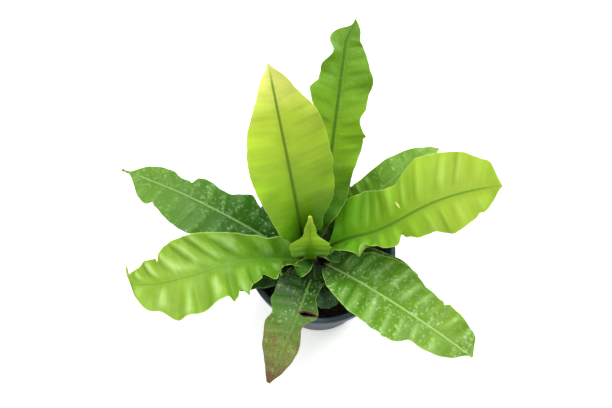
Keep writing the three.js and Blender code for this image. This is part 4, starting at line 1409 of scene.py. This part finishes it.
def add_floor(settings):
    """Adds a wide pale floor that glows a little, so that it stays pale in the shade."""
    reach = 4.0
    corners = [(-reach, -reach), (reach, -reach), (reach, reach), (-reach, reach)]
    mesh = bpy.data.meshes.new("floor")
    mesh.from_pydata([(x, y, -0.0001) for x, y in corners], [], [(0, 1, 2, 3)])
    floor = bpy.data.objects.new("floor", mesh)
    bpy.context.scene.collection.objects.link(floor)
    pale = Finish("floor_pale")
    spot = pale.node("ShaderNodeTexCoord", None, None, "Object")
    sockets = {
        "Base Color": pale.scale(tuple(settings.floor), 0.995 + pale.grain(spot, 0.3) * 0.01),
        "Roughness": 0.8,
        "Emission Color": WHITE,
        "Emission Strength": settings.floor_glow,
    }
    mesh.materials.append(pale.surface(sockets))


def add_light(settings):
    """Adds white surroundings, one large soft lamp and a weaker one across from it."""
    world = bpy.data.worlds.new("soft_white")
    world.use_nodes = True
    sky = world.node_tree.nodes["Background"]
    sky.inputs["Color"].default_value = WHITE
    sky.inputs["Strength"].default_value = settings.sky
    bpy.context.scene.world = world
    middle = (0.0, 0.0, 0.12)
    lamp("softbox", (0.42, 0.5, 1.15), middle, 0.9, settings.lamp)
    lamp("fill", (-0.7, 0.1, 1.0), middle, 0.8, settings.lamp * 0.3)


def add_camera(settings):
    """Adds the camera, which looks down from the front."""
    camera = bpy.data.cameras.new("camera")
    camera.lens = settings.lens
    camera.sensor_width = 36.0
    holder = bpy.data.objects.new("camera", camera)
    holder.location = settings.camera
    holder.rotation_euler = (settings.tilt, 0.0, 0.0)
    bpy.context.scene.collection.objects.link(holder)
    bpy.context.scene.camera = holder


class FERN_OT_stage(bpy.types.Operator):
    """Sets the pale floor, the soft light and the camera"""

    bl_idname = "fern.stage"
    bl_label = "Stage"

    def execute(self, context):
        settings = context.scene.fern_stage
        add_floor(settings)
        add_light(settings)
        add_camera(settings)
        context.scene.view_settings.view_transform = "Standard"
        return {"FINISHED"}


class FERN_PT_panel(bpy.types.Panel):
    """Lists the steps that build the fern and their settings"""

    bl_idname = "FERN_PT_panel"
    bl_label = "Potted fern"
    bl_space_type = "VIEW_3D"
    bl_region_type = "UI"
    bl_category = "Fern"

    def draw(self, context):
        for step in STEPS:
            self.layout.operator(step.bl_idname)
        for key, group in SETTINGS.items():
            settings = getattr(context.scene, key)
            box = self.layout.box()
            for name in group.__annotations__:
                box.prop(settings, name)


STEPS = (FERN_OT_stage, FERN_OT_pot, FERN_OT_mix, FERN_OT_bits, FERN_OT_crown, FERN_OT_fronds)


def register():
    for group in (*SETTINGS.values(), *STEPS, FERN_PT_panel):
        bpy.utils.register_class(group)
    for key, group in SETTINGS.items():
        setattr(bpy.types.Scene, key, bpy.props.PointerProperty(type=group))


def unregister():
    for key in SETTINGS:
        delattr(bpy.types.Scene, key)
    for group in (FERN_PT_panel, *STEPS, *SETTINGS.values()):
        bpy.utils.unregister_class(group)


def main():
    register()
    bpy.ops.fern.stage()
    bpy.ops.fern.pot()
    bpy.ops.fern.mix()
    bpy.ops.fern.bits()
    bpy.ops.fern.crown()
    bpy.ops.fern.fronds()


if __name__ == "__main__":
    main()
